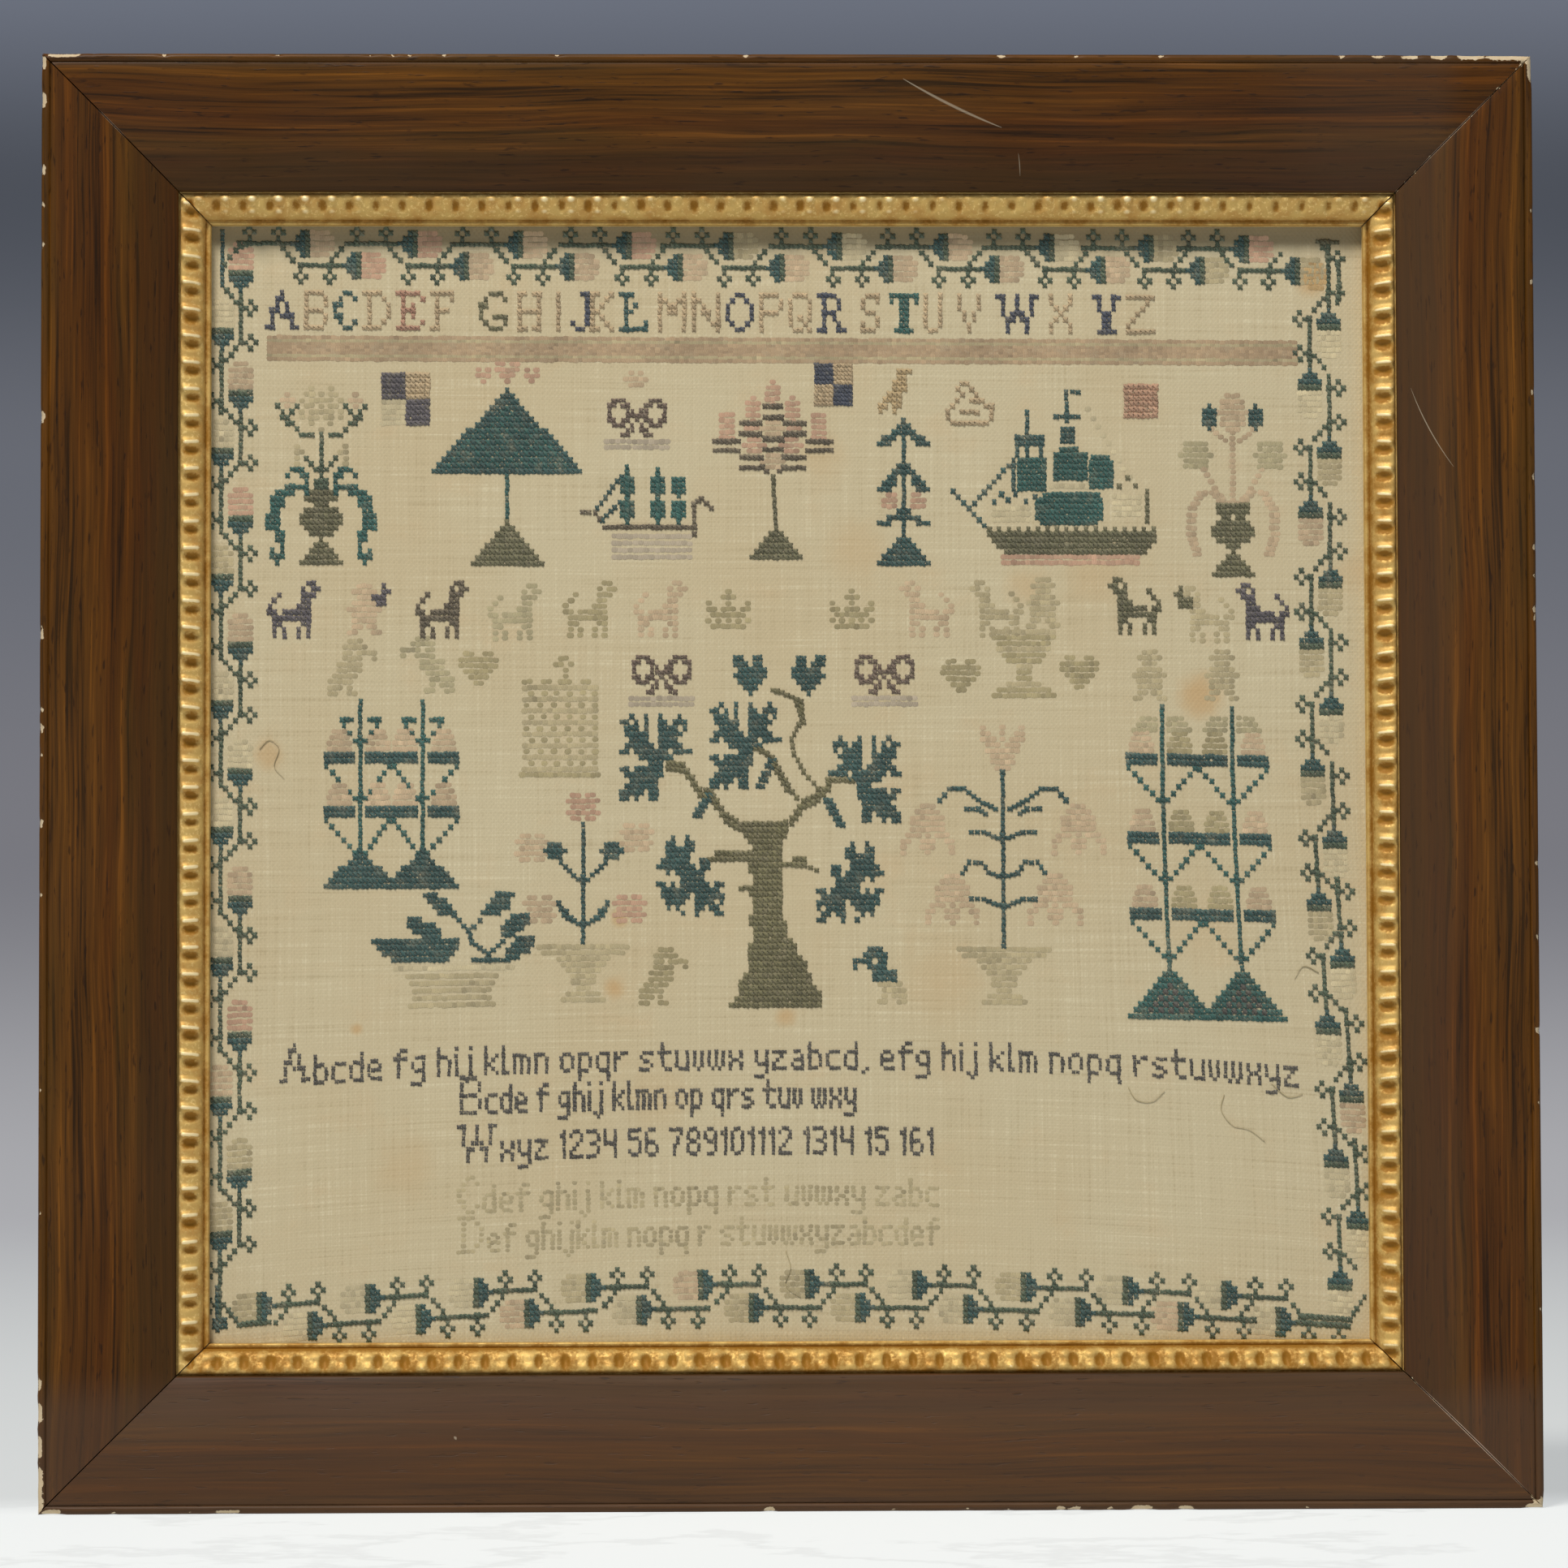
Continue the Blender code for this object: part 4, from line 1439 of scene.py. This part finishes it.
def great_ship(chart):
    """Three masts of teal sails over a scalloped hull."""
    chart.way([(179, 28), (176.6, 28), (176.6, 33)], "d")
    chart.run((174.5, 32.3), (179, 32.3), "d")
    chart.oval(176.8, 35.6, 1.4, 1.4, "d")
    for left, top, wide, high in (
        (175, 37.6, 4, 1), (173.8, 38.6, 7, 5), (166.3, 39.5, 6, 6), (181.5, 39, 4, 1), (181.2, 40, 5, 5),
        (171.5, 45.6, 12, 1), (170, 46.6, 14, 4), (171, 50.4, 12, 1),
    ):
        chart.block(left, top, wide, high, "t")
    chart.run((165.5, 41), (165.5, 45), "d")
    chart.run((168.4, 31.8), (168.4, 39), "d")
    for row in (36, 37):
        chart.run((166.3, row), (171.5, row), "d")
    chart.run((166.3, 38), (166.3, 39), "d")
    chart.run((171.3, 38), (171.3, 39), "d")
    chart.run((165.5, 40), (156.5, 48.5), "d")
    chart.run((153, 45.5), (159.5, 51.5), "d")
    chart.way([(161.5, 47.3), (163, 46), (164.5, 47), (166, 46), (168, 47.3), (170, 46.5)], "d", every=1.5)
    for column in range(160, 195, 2):
        chart.put(column, 51.7, "k")
    for row, left, right in ((53, 160.5, 194.5), (54, 161.5, 194.5), (55, 162.5, 193.5), (56, 164, 192.5)):
        chart.run((left, row), (right, row), "k")
    for row in (57, 58):
        chart.run((163.5, row), (191, row), "x")
    chart.way([(187.5, 44.5), (189.2, 43), (190.8, 44.5)], "k", every=1.3)
    chart.run((193.2, 45.5), (193.2, 50.5), "k")
    chart.run((181, 31), (189.5, 43), "w", every=1.5)
    for left, top, wide, high in ((161, 48, 8, 3), (186, 46, 6, 4)):
        chart.block(left, top, wide, high, "w")
    chart.run((173.5, 44.6), (180.8, 44.6), "w")


def animal_chart():
    """Dogs, small birds, crowns and hearts, half of them faded to ghosts."""
    chart = Chart()
    for left, top, dye, flip in (
        (11.5, 61, "v", False), (42, 61, "c", False), (185, 60.5, "k", True), (211.5, 61.5, "v", True),
        (72.5, 61, "h", False), (87, 61, "p", False), (142, 61, "p", True), (200, 62, "g", True),
        (57, 61.5, "f", False), (156.5, 61, "g", True),
    ):
        chart.rows(left, top, DOG, dye, flip=flip)
    chart.rows(33, 61.5, BIRD, "v")
    chart.rows(198.5, 62, BIRD, "k", flip=True)
    for left in (102, 127.5):
        chart.rows(left, 62.5, CROWN, "h")
    for left, top, dye in ((51, 73.2, "h"), (150.5, 74.6, "h"), (175, 74, "h")):
        chart.rows(left, top, WIDE_HEART, dye)
    chart.rows(28, 61.5, FIGURE, "p")
    chart.rows(168, 60.5, FIGURE, "g")
    chart.rows(24, 71, PERCHED, "g", flip=True)
    chart.rows(39, 70.5, PERCHED, "f")
    for row, half in enumerate((6, 6, 5, 5, 4, 3, 1, 1, 1, 3, 5, 6)):
        chart.run((167.5 - half, 70 + row), (167.5 + half, 70 + row), "h" if row % 3 else "g")
    for left, flip in ((190, False), (205, True)):
        chart.rows(left, 73, FIGURE, "g", flip=flip)
    for left in (85.5, 131.5):
        cypher(chart, left, 73.8)
    castle(chart, 64, 78)
    return chart


def castle(chart, left, top):
    """A faded castle: battlements, courses of stone and a small figure on its wall."""
    for column in (0, 4, 8, 12):
        chart.block(left + column, top, 2, 1, "h")
    for row in range(1, 16):
        line = top + row + 0.5
        if row % 2:
            chart.run((left + 0.5, line), (left + 15, line), "g")
        else:
            chart.run((left + 0.9 + row % 4 / 2, line), (left + 15, line), "h", every=2.8)
    chart.run((left, top + 16.5), (left + 15.5, top + 16.5), "h")
    chart.rows(left + 6.5, top - 4, ".##./##.#/..#./..#./.##.", "h")


def oak_chart():
    """The oak: bark trunk and branches, with jagged teal leaves in threes."""
    chart = Chart()
    for row in range(103, 135):
        left = 111.5 - 4.5 * eased((row - 124) / 13) + 0.5 * math.sin(row * 1.3)
        right = 117 + 9 * eased((row - 117) / 20)
        if row < 106:
            left, right = 109 + (row - 103) * 0.6, 118
        chart.run((round(left), row), (round(right), row), "u")
    stumps = ((104, 108, 111), (102.5, 109, 110), (117, 110, 122), (120, 109, 122), (109, 114, 111))
    for start, row, last in stumps:
        chart.run((start, row), (last, row), "u")
    chart.run((122, 110), (124.5, 111), "u")
    limbs = (
        ((94, 92.5), (97, 92.8), (99, 95), (100.5, 97), (103, 97.3), (104, 99), (106, 101.5), (109, 103)),
        ((127, 96), (125, 98), (122, 99), (119.5, 102), (117, 103.5)),
    )
    for points in limbs:
        chart.way(points, "u")
        chart.way([(c, r + 1) for c, r in points], "u")
    branches = (
        ((127, 95.5), (132, 95.5)),
        ((112, 90), (114.5, 91), (116.5, 94), (118.5, 97), (120.5, 98.5)),
        ((113, 90), (115.5, 91.5), (117.5, 94.5), (119.5, 97.5)),
        ((115.5, 80), (120.5, 81.5), (121.5, 85), (119.5, 88.5), (120, 91), (122, 94), (125, 97)),
        ((116.5, 80), (121.5, 82), (122, 85.5)),
    )
    for points in branches:
        chart.way(points, "u")
    clusters = (
        (84, 84, TWO_UP, False), (102.5, 82, TWO_UP, False), (127, 87.8, TWO_UP, True),
        (91.5, 104.8, TWO_DOWN, False), (123.5, 106, TWO_DOWN, True),
        (107.5, 74, LEAF, False), (119.5, 74, LEAF, True),
    )
    for left, top, shape, flip in clusters:
        chart.rows(left, top, shape, "d", flip=flip)
    for points in (((115, 92), (112.5, 96.5)), ((102, 98), (99.5, 101.5)), ((126.5, 99), (129, 103))):
        chart.way(points, "d")
        chart.way([(c + 1, r) for c, r in points], "d")
    perched = PERCHED.split("/")
    chart.rows(132, 124, "/".join(perched[:6]), "d")
    chart.rows(132, 130, "/".join(perched[6:]), "g")
    chart.rows(88, 124, PERCHED, "h", flip=True)
    return chart


def twin_trees(chart, stems, top, bars, foot, foot_high, half, tilt=0.0, heads=False):
    """Two stems joined by bars, with faded fruit on each bar, dotted arms under it and a spire as foot."""
    left, right = stems

    def dipped(column, row):
        return column, round(row + tilt * (column - left), 1)

    for stem in stems:
        chart.run(dipped(stem, top), dipped(stem, foot), "t")
        if heads:
            for side in (-1, 1):
                chart.run((stem + 1.8 * side, top + 3), (stem + 3.8 * side, top + 3), "t")
                chart.run((stem + 3.4 * side, top + 4), (stem + side, top + 6.6), "t", every=1.1)
        dye, fill = ("t", "q") if tilt else ("d", None)
        chart.spire(stem, round(foot + tilt * (stem - left)), foot_high, half, dye, fill=fill)
    span = right - left
    for row in bars:
        for start, end in ((left - 7, left - 1.5), (left + 1.5, right - 1.5), (right + 1.5, right + 7)):
            for line in (0, 1):
                chart.run(dipped(start, row + line), dipped(end, row + line), "d")
        for stem in stems:
            for side in (-1, 1):
                outwards = (stem - (left + right) / 2) * side > 0
                tip = stem + side * (7 if outwards else span / 2 - 0.5)
                chart.run(dipped(tip, row + 2), dipped(stem + side, row + 7.5), "t", every=1.1)
        for number, column in enumerate((left - 4.3, left + 3.6, right - 3.6, right + 4.3)):
            dye = "h" if tilt and number in (1, 2) else "p"
            for line, reach in ((1, 2), (2, 2), (3, 1.5), (4, 1)):
                chart.run(dipped(column - reach, row - line), dipped(column + reach, row - line), dye)


def trees_chart():
    """Twin trees on both sides of the lower half."""
    chart = Chart()
    twin_trees(chart, (30.7, 43.5), 82, (91, 100.3), 107, 7, 7, heads=True)
    twin_trees(chart, (196, 210.5), 83, (91.5, 105, 118), 127, 9, 7.5, tilt=0.02)
    for stem in (196, 210.5):
        for side in (-1, 1):
            for line in range(3):
                reach = 4 + line * 0.8
                chart.run((stem + side * 1.5, 85 + line), (stem + side * reach, 85 + line), "f")
    return chart


def leafy_basket(chart):
    """Teal leaves that spray out of a faded basket."""
    leaves = (
        (43.5, 114.5, "###..../.####../..####./...####"),
        (55.5, 114.5, "...####/..####./.#####./####..."),
        (59.5, 118.2, "..####/.#####/#####./###..."),
        (60.5, 122, "..####/.#####/#####./###..."),
        (40.3, 118.6, "###...../######../.######./...####."),
    )
    for left, top, shape in leaves:
        chart.rows(left, top, shape, "d")
    for row, (start, wide) in enumerate(((0, 18), (1, 17), (2, 15), (4, 12))):
        chart.block(33 + start, 122.3 + row, wide, 1, "d")
    stems = (
        ((50, 118.5), (53, 121), (53.5, 123), (57, 125)),
        ((56.5, 118), (54, 120.5)),
        ((60, 123), (57, 125)),
        ((54, 126), (61, 126)),
    )
    for points in stems:
        chart.way(points, "d")
    chart.run((38, 127.3), (62, 127.3), "w")
    for row, half in ((128.6, 9), (129.8, 8.2), (131, 7.6), (132.2, 7.6), (133.4, 8.4)):
        chart.run((49.5 - half, row), (49.5 + half, row), "g")


def plants_chart():
    """Potted plants, the leafy basket and faded flowers between the larger trees."""
    chart = Chart()
    chart.run((76.5, 103), (76.5, 123), "d")
    for side in (-1, 1):
        chart.oval(76.5 + side * 5.8, 107.5, 1.7, 1.9, "d")
        chart.run((76.5 + side * 4.6, 109.5), (76.5 + side, 112.5), "d")
        chart.way([(76.5 + side * 5, 116.5), (76.5 + side * 4, 118.5), (76.5 + side, 120)], "d")
        chart.run((76.5 + side * 3.5, 118), (76.5 + side * 2.5, 119), "d")
    flowers = ((73, 97.5, "x"), (62.5, 104.5, "p"), (84, 102.8, "p"), (82.5, 115, "x"), (64, 115, "p"))
    for left, top, dye in flowers:
        chart.rows(left, top, FLOWER, dye)
    for left, top in ((67, 123.4), (153.5, 124)):
        chart.rows(left, top, GHOST_POT, "g")
    leafy_basket(chart)
    centre = 163
    chart.run((centre, 94), (centre, 124), "d")
    for side in (-1, 1):
        arcs = (
            ((13, 99), (11, 97), (8, 97), (5, 99), (1.5, 100.5)),
            ((7.5, 100.5), (5, 100.5), (3.5, 101.3)),
            ((8.5, 111.5), (7, 109.7), (4.5, 109.7), (3, 111.5), (1, 112)),
        )
        for points in arcs:
            chart.way([(centre + side * c, r) for c, r in points], "d")
        for row in (104.5, 116):
            chart.way([(centre + side * 6.5, row), (centre + side * 4, row), (centre + side, row + 1)], "d")
        for reach, row in ((15.5, 99.5), (10.5, 111.5)):
            chart.rows(centre + side * reach - 5.5, row, BLOOM, "p", flip=side < 0)
    chart.rows(158.5, 86, TULIP, "p")
    return chart


VERSE = (
    # capital, the rest of the line, first and last column, row of its foot, dye
    ("A", "bcde fg hij klmn opqr stuvwx yzabcd, efg hij klm nopq rstuvwxyz", 14, 221, 144.3, "q"),
    ("B", "cde f ghij klmn op qrs tuv wxy", 51, 133, 150.8, "q"),
    ("W", "xyz 1234 56 789101112 1314 15 161", 50.5, 149, 158.8, "q"),
    ("C", "def ghij klm nopq rst uvwxy zabc", 50.5, 150, 167.5, "g"),
    ("D", "ef ghijklm nopq r stuvwxyzabcdef", 50.5, 150, 174.2, "g"),
)


def letter_width(letter):
    """Columns that a letter of the verse takes, with the gap after it."""
    return 2.2 if letter == " " else len(SMALL[letter][1].split("/")[0]) + 1.0


def verse_chart():
    """Lines of plain alphabet and figures in word-like groups, worked small."""
    chart = Chart()
    for capital, line, first, last, foot, dye in VERSE:
        chart.rows(first, foot - 6 * 0.95, CAPITALS[capital], dye, pitch=(0.92, 0.95), size=0.8)
        start = first + 0.92 * (len(CAPITALS[capital].split("/")[0]) + 0.6)
        pitch = (last - start) / sum(letter_width(letter) for letter in line)
        column = start
        for letter in line:
            if letter != " ":
                top, small = SMALL[letter]
                low = 1.6 * max(0.0, (column - 150) / 75) ** 2 + 1.2 * max(0.0, (40 - column) / 40)
                row = foot + low * (foot < 146) + (top - 4) * SMALL_PITCH
                chart.rows(column, row, small, dye, pitch=(pitch, SMALL_PITCH), size=0.74)
            column += pitch * letter_width(letter)
    return chart


CHARTS = {
    "alphabet": alphabet_chart,
    "upper_pictures": upper_chart,
    "animals": animal_chart,
    "oak": oak_chart,
    "twin_trees": trees_chart,
    "plants": plants_chart,
    "verse": verse_chart,
}


# ---------------------------------------------------------------- sewing


def leg_template(start, end, lift, base, thickness, depth=0.36):
    """One leg of a stitch from start to end: its places (across, out, up), its lay and its faces.

    A leg of little depth is flat, and keeps only its upper half."""
    bm = bmesh.new()
    bmesh.ops.create_uvsphere(bm, u_segments=4, v_segments=4, radius=1.0)
    bmesh.ops.rotate(bm, verts=bm.verts, cent=(0, 0, 0), matrix=Matrix.Rotation(math.pi / 2, 3, "Y"))
    if depth < 0.1:
        under = [face for face in bm.faces if face.calc_center_median().z < 0]
        bmesh.ops.delete(bm, geom=under, context="FACES")
    bmesh.ops.triangulate(bm, faces=bm.faces)
    bm.verts.index_update()
    start, end = Vector(start), Vector(end)
    half = (end - start) / 2
    aside = Vector((-half.y, half.x)).normalized()
    places = []
    lays = []
    for vert in bm.verts:
        share, side, out = vert.co
        fullness = 1.0 if abs(share) < 0.1 else 1.2
        middle = (start + end) / 2 + half * share + aside * side * fullness * thickness / 2
        raised = base + lift * (1 - share * share) + out * fullness * thickness * depth
        places.append((middle.x, raised, middle.y))
        lays.append((share * half.length, side * 2.2 + out, 0.0))
    faces = [[vert.index for vert in face.verts] for face in bm.faces]
    bm.free()
    return np.array(places), np.array(lays), np.array(faces)


def joined_legs(legs):
    """Several legs as one template."""
    places, lays, faces, count = [], [], [], 0
    for leg_places, leg_lays, leg_faces in legs:
        places.append(leg_places)
        lays.append(leg_lays)
        faces.append(leg_faces + count)
        count += len(leg_places)
    return np.concatenate(places), np.concatenate(lays), np.concatenate(faces)


def stitch_templates(settings):
    """A full cross and a single bar, metres, centred on their own place."""
    thick, lift = settings.thickness, settings.lift
    across, down = COLUMN * 0.60, ROW * 0.57
    under = leg_template((-across, -down), (across, down), lift * 0.7, -0.00008, thick)
    over = leg_template((-across, down), (across, -down), lift * 1.5, -0.00006, thick)
    bar = leg_template((-COLUMN * 0.72, 0.0), (COLUMN * 0.72, 0.0), lift * 0.3, 0.0, thick * 1.5, 0.05)
    return {"cross": joined_legs([under, over]), "bar": bar}


PULLED_TIGHT = (0.74, 0.94, 1.0)  # share of its full size, by the number of neighbours one way
LONE_SIZE = 0.92


def pulled(chart, column, row):
    """How wide and how high a cross is worked: without neighbours on that side it is pulled tight."""
    sizes = []
    for ways in (((-2, 0), (2, 0)), ((0, -2), (0, 2))):
        beside = 0
        for aside, down in ways:
            here = (round(column * 2) + aside, round(row * 2) + down)
            spread = [(here[0] + shift * (not aside), here[1] + shift * (not down)) for shift in (-1, 0, 1)]
            beside += any(key in chart.stitches for key in spread)
        sizes.append(PULLED_TIGHT[beside])
    if max(sizes) == PULLED_TIGHT[0]:
        return LONE_SIZE, LONE_SIZE
    return sizes


# How unevenly the hand works: the spread of a stitch's place in threads, its size and shade as shares and
# its turn in radians, and the slow change of shade along the thread
PLACE_SPREAD = 0.05
SIZE_SPREAD = 0.06
SHADE_SPREAD = 0.09
TURN_SPREAD = 0.06
SHADE_DRIFT = 0.10


def sew(name, chart, settings, ripple, finish):
    """Lays every stitch of a chart on the cloth as one mesh."""
    templates = stitch_templates(settings)
    chance = np.random.default_rng(sum(map(ord, name)))
    places, lays, dyes, faces, count = [], [], [], [], 0
    for kind, (shape, lay, kind_faces) in templates.items():
        chosen = [s for s in chart.stitches.values() if DYES[s[2]][2] == kind]
        if not chosen:
            continue
        number = len(chosen)
        columns = np.array([s[0] for s in chosen], float) + 0.5 + chance.normal(0, PLACE_SPREAD, number)
        rows = np.array([s[1] for s in chosen], float) + 0.5 + chance.normal(0, PLACE_SPREAD, number)
        sizes = np.array([s[3] for s in chosen], float) * chance.normal(1.0, SIZE_SPREAD, number)
        wide, high = np.ones(number), np.ones(number)
        if kind == "cross":
            wide, high = np.array([pulled(chart, s[0], s[1]) for s in chosen]).T
        x, z = counted_place(columns, rows)
        turn = chance.normal(0, TURN_SPREAD, number)
        across = shape[None, :, 0] * np.cos(turn)[:, None] - shape[None, :, 2] * np.sin(turn)[:, None]
        up = shape[None, :, 0] * np.sin(turn)[:, None] + shape[None, :, 2] * np.cos(turn)[:, None]
        made = np.empty((number, len(shape), 3))
        made[..., 0] = x[:, None] + across * (sizes * wide)[:, None]
        made[..., 2] = z[:, None] + up * (sizes * high)[:, None]
        out = shape[None, :, 1] * sizes[:, None]
        made[..., 1] = cloth_front(made[..., 0], made[..., 2], ripple) - out
        colours = np.array([getattr(settings, "dye_" + s[2]) for s in chosen], float)
        drift = SHADE_DRIFT * np.sin(columns * 0.21 + rows * 0.13)[:, None]
        shade = chance.normal(1.0, SHADE_SPREAD, (number, 1)) + drift
        colours = np.clip(colours * shade, 0.004, 1.0)
        places.append(made.reshape(-1, 3))
        lays.append(np.tile(lay, (number, 1)))
        dyes.append(np.repeat(np.hstack([colours, np.ones((number, 1))]), len(shape), axis=0))
        stitch_faces = kind_faces[None] + (np.arange(number) * len(shape))[:, None, None]
        faces.append(stitch_faces.reshape(-1, 3) + count)
        count += number * len(shape)
    places, faces = np.concatenate(places), np.concatenate(faces)
    mesh = bpy.data.meshes.new(name)
    mesh.vertices.add(len(places))
    mesh.vertices.foreach_set("co", places.ravel())
    mesh.loops.add(faces.size)
    mesh.loops.foreach_set("vertex_index", faces.ravel())
    mesh.polygons.add(len(faces))
    mesh.polygons.foreach_set("loop_start", np.arange(0, faces.size, 3))
    mesh.update(calc_edges=True)
    dye = mesh.attributes.new("dye", "FLOAT_COLOR", "POINT")
    dye.data.foreach_set("color", np.concatenate(dyes).ravel())
    lay = mesh.attributes.new("lay", "FLOAT_VECTOR", "POINT")
    lay.data.foreach_set("vector", np.concatenate(lays).ravel())
    mesh.shade_smooth()
    mesh.materials.append(finish)
    piece = bpy.data.objects.new(name, mesh)
    bpy.context.scene.collection.objects.link(piece)
    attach(piece, "root")
    return piece


# columns and rows of the points of each loose end
LOOSE_ENDS = (
    ((187, 147.4), (188.5, 149.4), (191.5, 149.6), (194, 147.8)),
    ((205.5, 148), (204.8, 150.6), (206.8, 153), (210, 153.6), (213, 155.4)),
    ((215, 146), (218, 148), (221, 147.5)),
    ((118, 176), (119, 179), (118, 182), (121, 184)),
    ((10, 90), (12, 88.5), (14, 90), (13, 93), (15, 95)),
    ((226, 128), (223, 127), (221, 129)),
)
LOOSE_RADIUS = 0.00011
LOOSE_RISE = 0.00018  # of a loose end's middle over the cloth


def build_loose_ends(settings, ripple, finish):
    """Thin loose ends of thread, curled flat on the cloth."""
    bm = bmesh.new()
    dye = bm.verts.layers.float_color.new("dye")
    for points in LOOSE_ENDS:
        x, z = counted_place([p[0] for p in points], [p[1] for p in points])
        y = cloth_front(x, z, ripple) - LOOSE_RISE
        knots = [Vector(map(float, place)) for place in zip(x, y, z)]
        path = smooth_path(knots, 6)
        first = (path[1] - path[0]).normalized()
        ring = bmesh.ops.create_circle(bm, segments=5, radius=LOOSE_RADIUS, cap_ends=True)["verts"]
        upright = first.to_track_quat("Z", "Y").to_matrix().to_4x4()
        bmesh.ops.transform(bm, matrix=Matrix.Translation(path[0]) @ upright, verts=ring)
        face = next(f for f in ring[0].link_faces if set(f.verts) == set(ring))
        for here, there in zip(path, path[1:]):
            grown = bmesh.ops.extrude_face_region(bm, geom=[face])["geom"]
            face = next(item for item in grown if isinstance(item, bmesh.types.BMFace))
            bmesh.ops.translate(bm, verts=list(face.verts), vec=there - here)
    for vert in bm.verts:
        vert[dye] = (*settings.dye_h, 1.0)
    bmesh.ops.recalc_face_normals(bm, faces=bm.faces)
    piece = new_piece("loose_thread_ends", bm, finish)
    piece.data.shade_smooth()
    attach(piece, "root")
    return piece


def smooth_path(knots, steps):
    """A smooth curve through the knots, with so many steps between two of them."""
    ends = [2 * knots[0] - knots[1], *knots, 2 * knots[-1] - knots[-2]]
    path = []
    for a, b, c, d in zip(ends, ends[1:], ends[2:], ends[3:]):
        for step in range(steps):
            t = step / steps
            bend = 2 * a - 5 * b + 4 * c - d
            twist = 3 * b - a - 3 * c + d
            path.append(0.5 * (2 * b + (c - a) * t + bend * t * t + twist * t**3))
    return [*path, knots[-1]]


# ---------------------------------------------------------------- operators

shared = {}  # node groups, the thread's material and the stitched pieces, by name


class SAMPLER_OT_stage(bpy.types.Operator):
    """Lay the floor and backdrop, place the camera and light them"""

    bl_idname = "sampler.stage"
    bl_label = "Stage"

    def execute(self, context):
        settings = context.scene.sampler_stage
        build_stage()
        place_camera(settings)
        light_stage(settings)
        return {"FINISHED"}


class SAMPLER_OT_effects(bpy.types.Operator):
    """Build the shader node groups that the finishes share"""

    bl_idname = "sampler.effects"
    bl_label = "Shared effects"

    def execute(self, context):
        shared["grain"] = wood_grain_group()
        shared["chips"] = chipping_group()
        shared["scratch"] = scratch_group()
        shared["spot"] = spot_group()
        shared["weave"] = weave_group()
        shared["thread"] = thread_material()
        return {"FINISHED"}


class SAMPLER_OT_walnut_frame(bpy.types.Operator):
    """Mill, mitre and wear the four walnut mouldings"""

    bl_idname = "sampler.walnut_frame"
    bl_label = "Walnut frame"

    def execute(self, context):
        settings = context.scene.sampler_frame
        build_walnut_frame(settings, walnut_material(settings, shared))
        return {"FINISHED"}


class SAMPLER_OT_gilt_slip(bpy.types.Operator):
    """Press and gild the four lengths of slip"""

    bl_idname = "sampler.gilt_slip"
    bl_label = "Gilt slip"

    def execute(self, context):
        settings = context.scene.sampler_slip
        build_gilt_slip(settings, gilt_material(settings))
        return {"FINISHED"}


class SAMPLER_OT_backing_board(bpy.types.Operator):
    """Finish the backing board"""

    bl_idname = "sampler.backing_board"
    bl_label = "Backing board"

    def execute(self, context):
        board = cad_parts["backing_board"]
        board.data.materials.clear()
        board.data.materials.append(pine_material(context.scene.sampler_frame, shared))
        return {"FINISHED"}


class SAMPLER_OT_stitches(bpy.types.Operator):
    """Work the vine border, the alphabet, the pictures and the verse in thread"""

    bl_idname = "sampler.stitches"
    bl_label = "Stitches"

    def execute(self, context):
        threads = context.scene.sampler_threads
        ripple = context.scene.sampler_cloth.ripple
        charts = {"vine_" + side: border_chart(side) for side in SIDES}
        charts.update({name: work_out() for name, work_out in CHARTS.items()})
        thread = shared["thread"]
        sewn = [sew("stitches_" + name, chart, threads, ripple, thread) for name, chart in charts.items()]
        shared["sewn"] = [*sewn, build_loose_ends(threads, ripple, thread)]
        return {"FINISHED"}


class SAMPLER_OT_linen(bpy.types.Operator):
    """Stretch the linen ground over its board, with the stitches on it"""

    bl_idname = "sampler.linen"
    bl_label = "Linen ground"

    def execute(self, context):
        settings = context.scene.sampler_cloth
        cloth = build_cloth(settings, linen_material(settings, shared))
        return {"FINISHED"}


OPERATORS = (
    SAMPLER_OT_stage,
    SAMPLER_OT_effects,
    SAMPLER_OT_walnut_frame,
    SAMPLER_OT_gilt_slip,
    SAMPLER_OT_backing_board,
    SAMPLER_OT_stitches,
    SAMPLER_OT_linen,
)


class SAMPLER_PT_panel(bpy.types.Panel):
    """Lists the sampler's pieces in the order in which they are made"""

    bl_label = "Framed sampler"
    bl_idname = "SAMPLER_PT_panel"
    bl_space_type = "VIEW_3D"
    bl_region_type = "UI"
    bl_category = "Sampler"

    def draw(self, context):
        for operator in OPERATORS:
            self.layout.operator(operator.bl_idname)


def register():
    for name, group in SETTINGS.items():
        bpy.utils.register_class(group)
        setattr(bpy.types.Scene, name, PointerProperty(type=group))
    for made_class in (*OPERATORS, SAMPLER_PT_panel):
        bpy.utils.register_class(made_class)


def unregister():
    for made_class in (SAMPLER_PT_panel, *reversed(OPERATORS)):
        bpy.utils.unregister_class(made_class)
    for name, group in reversed(SETTINGS.items()):
        delattr(bpy.types.Scene, name)
        bpy.utils.unregister_class(group)


def main():
    register()
    for operator in OPERATORS:
        step = operator.bl_idname.split(".")[1]
        getattr(bpy.ops.sampler, step)()


if __name__ == "__main__":
    main()
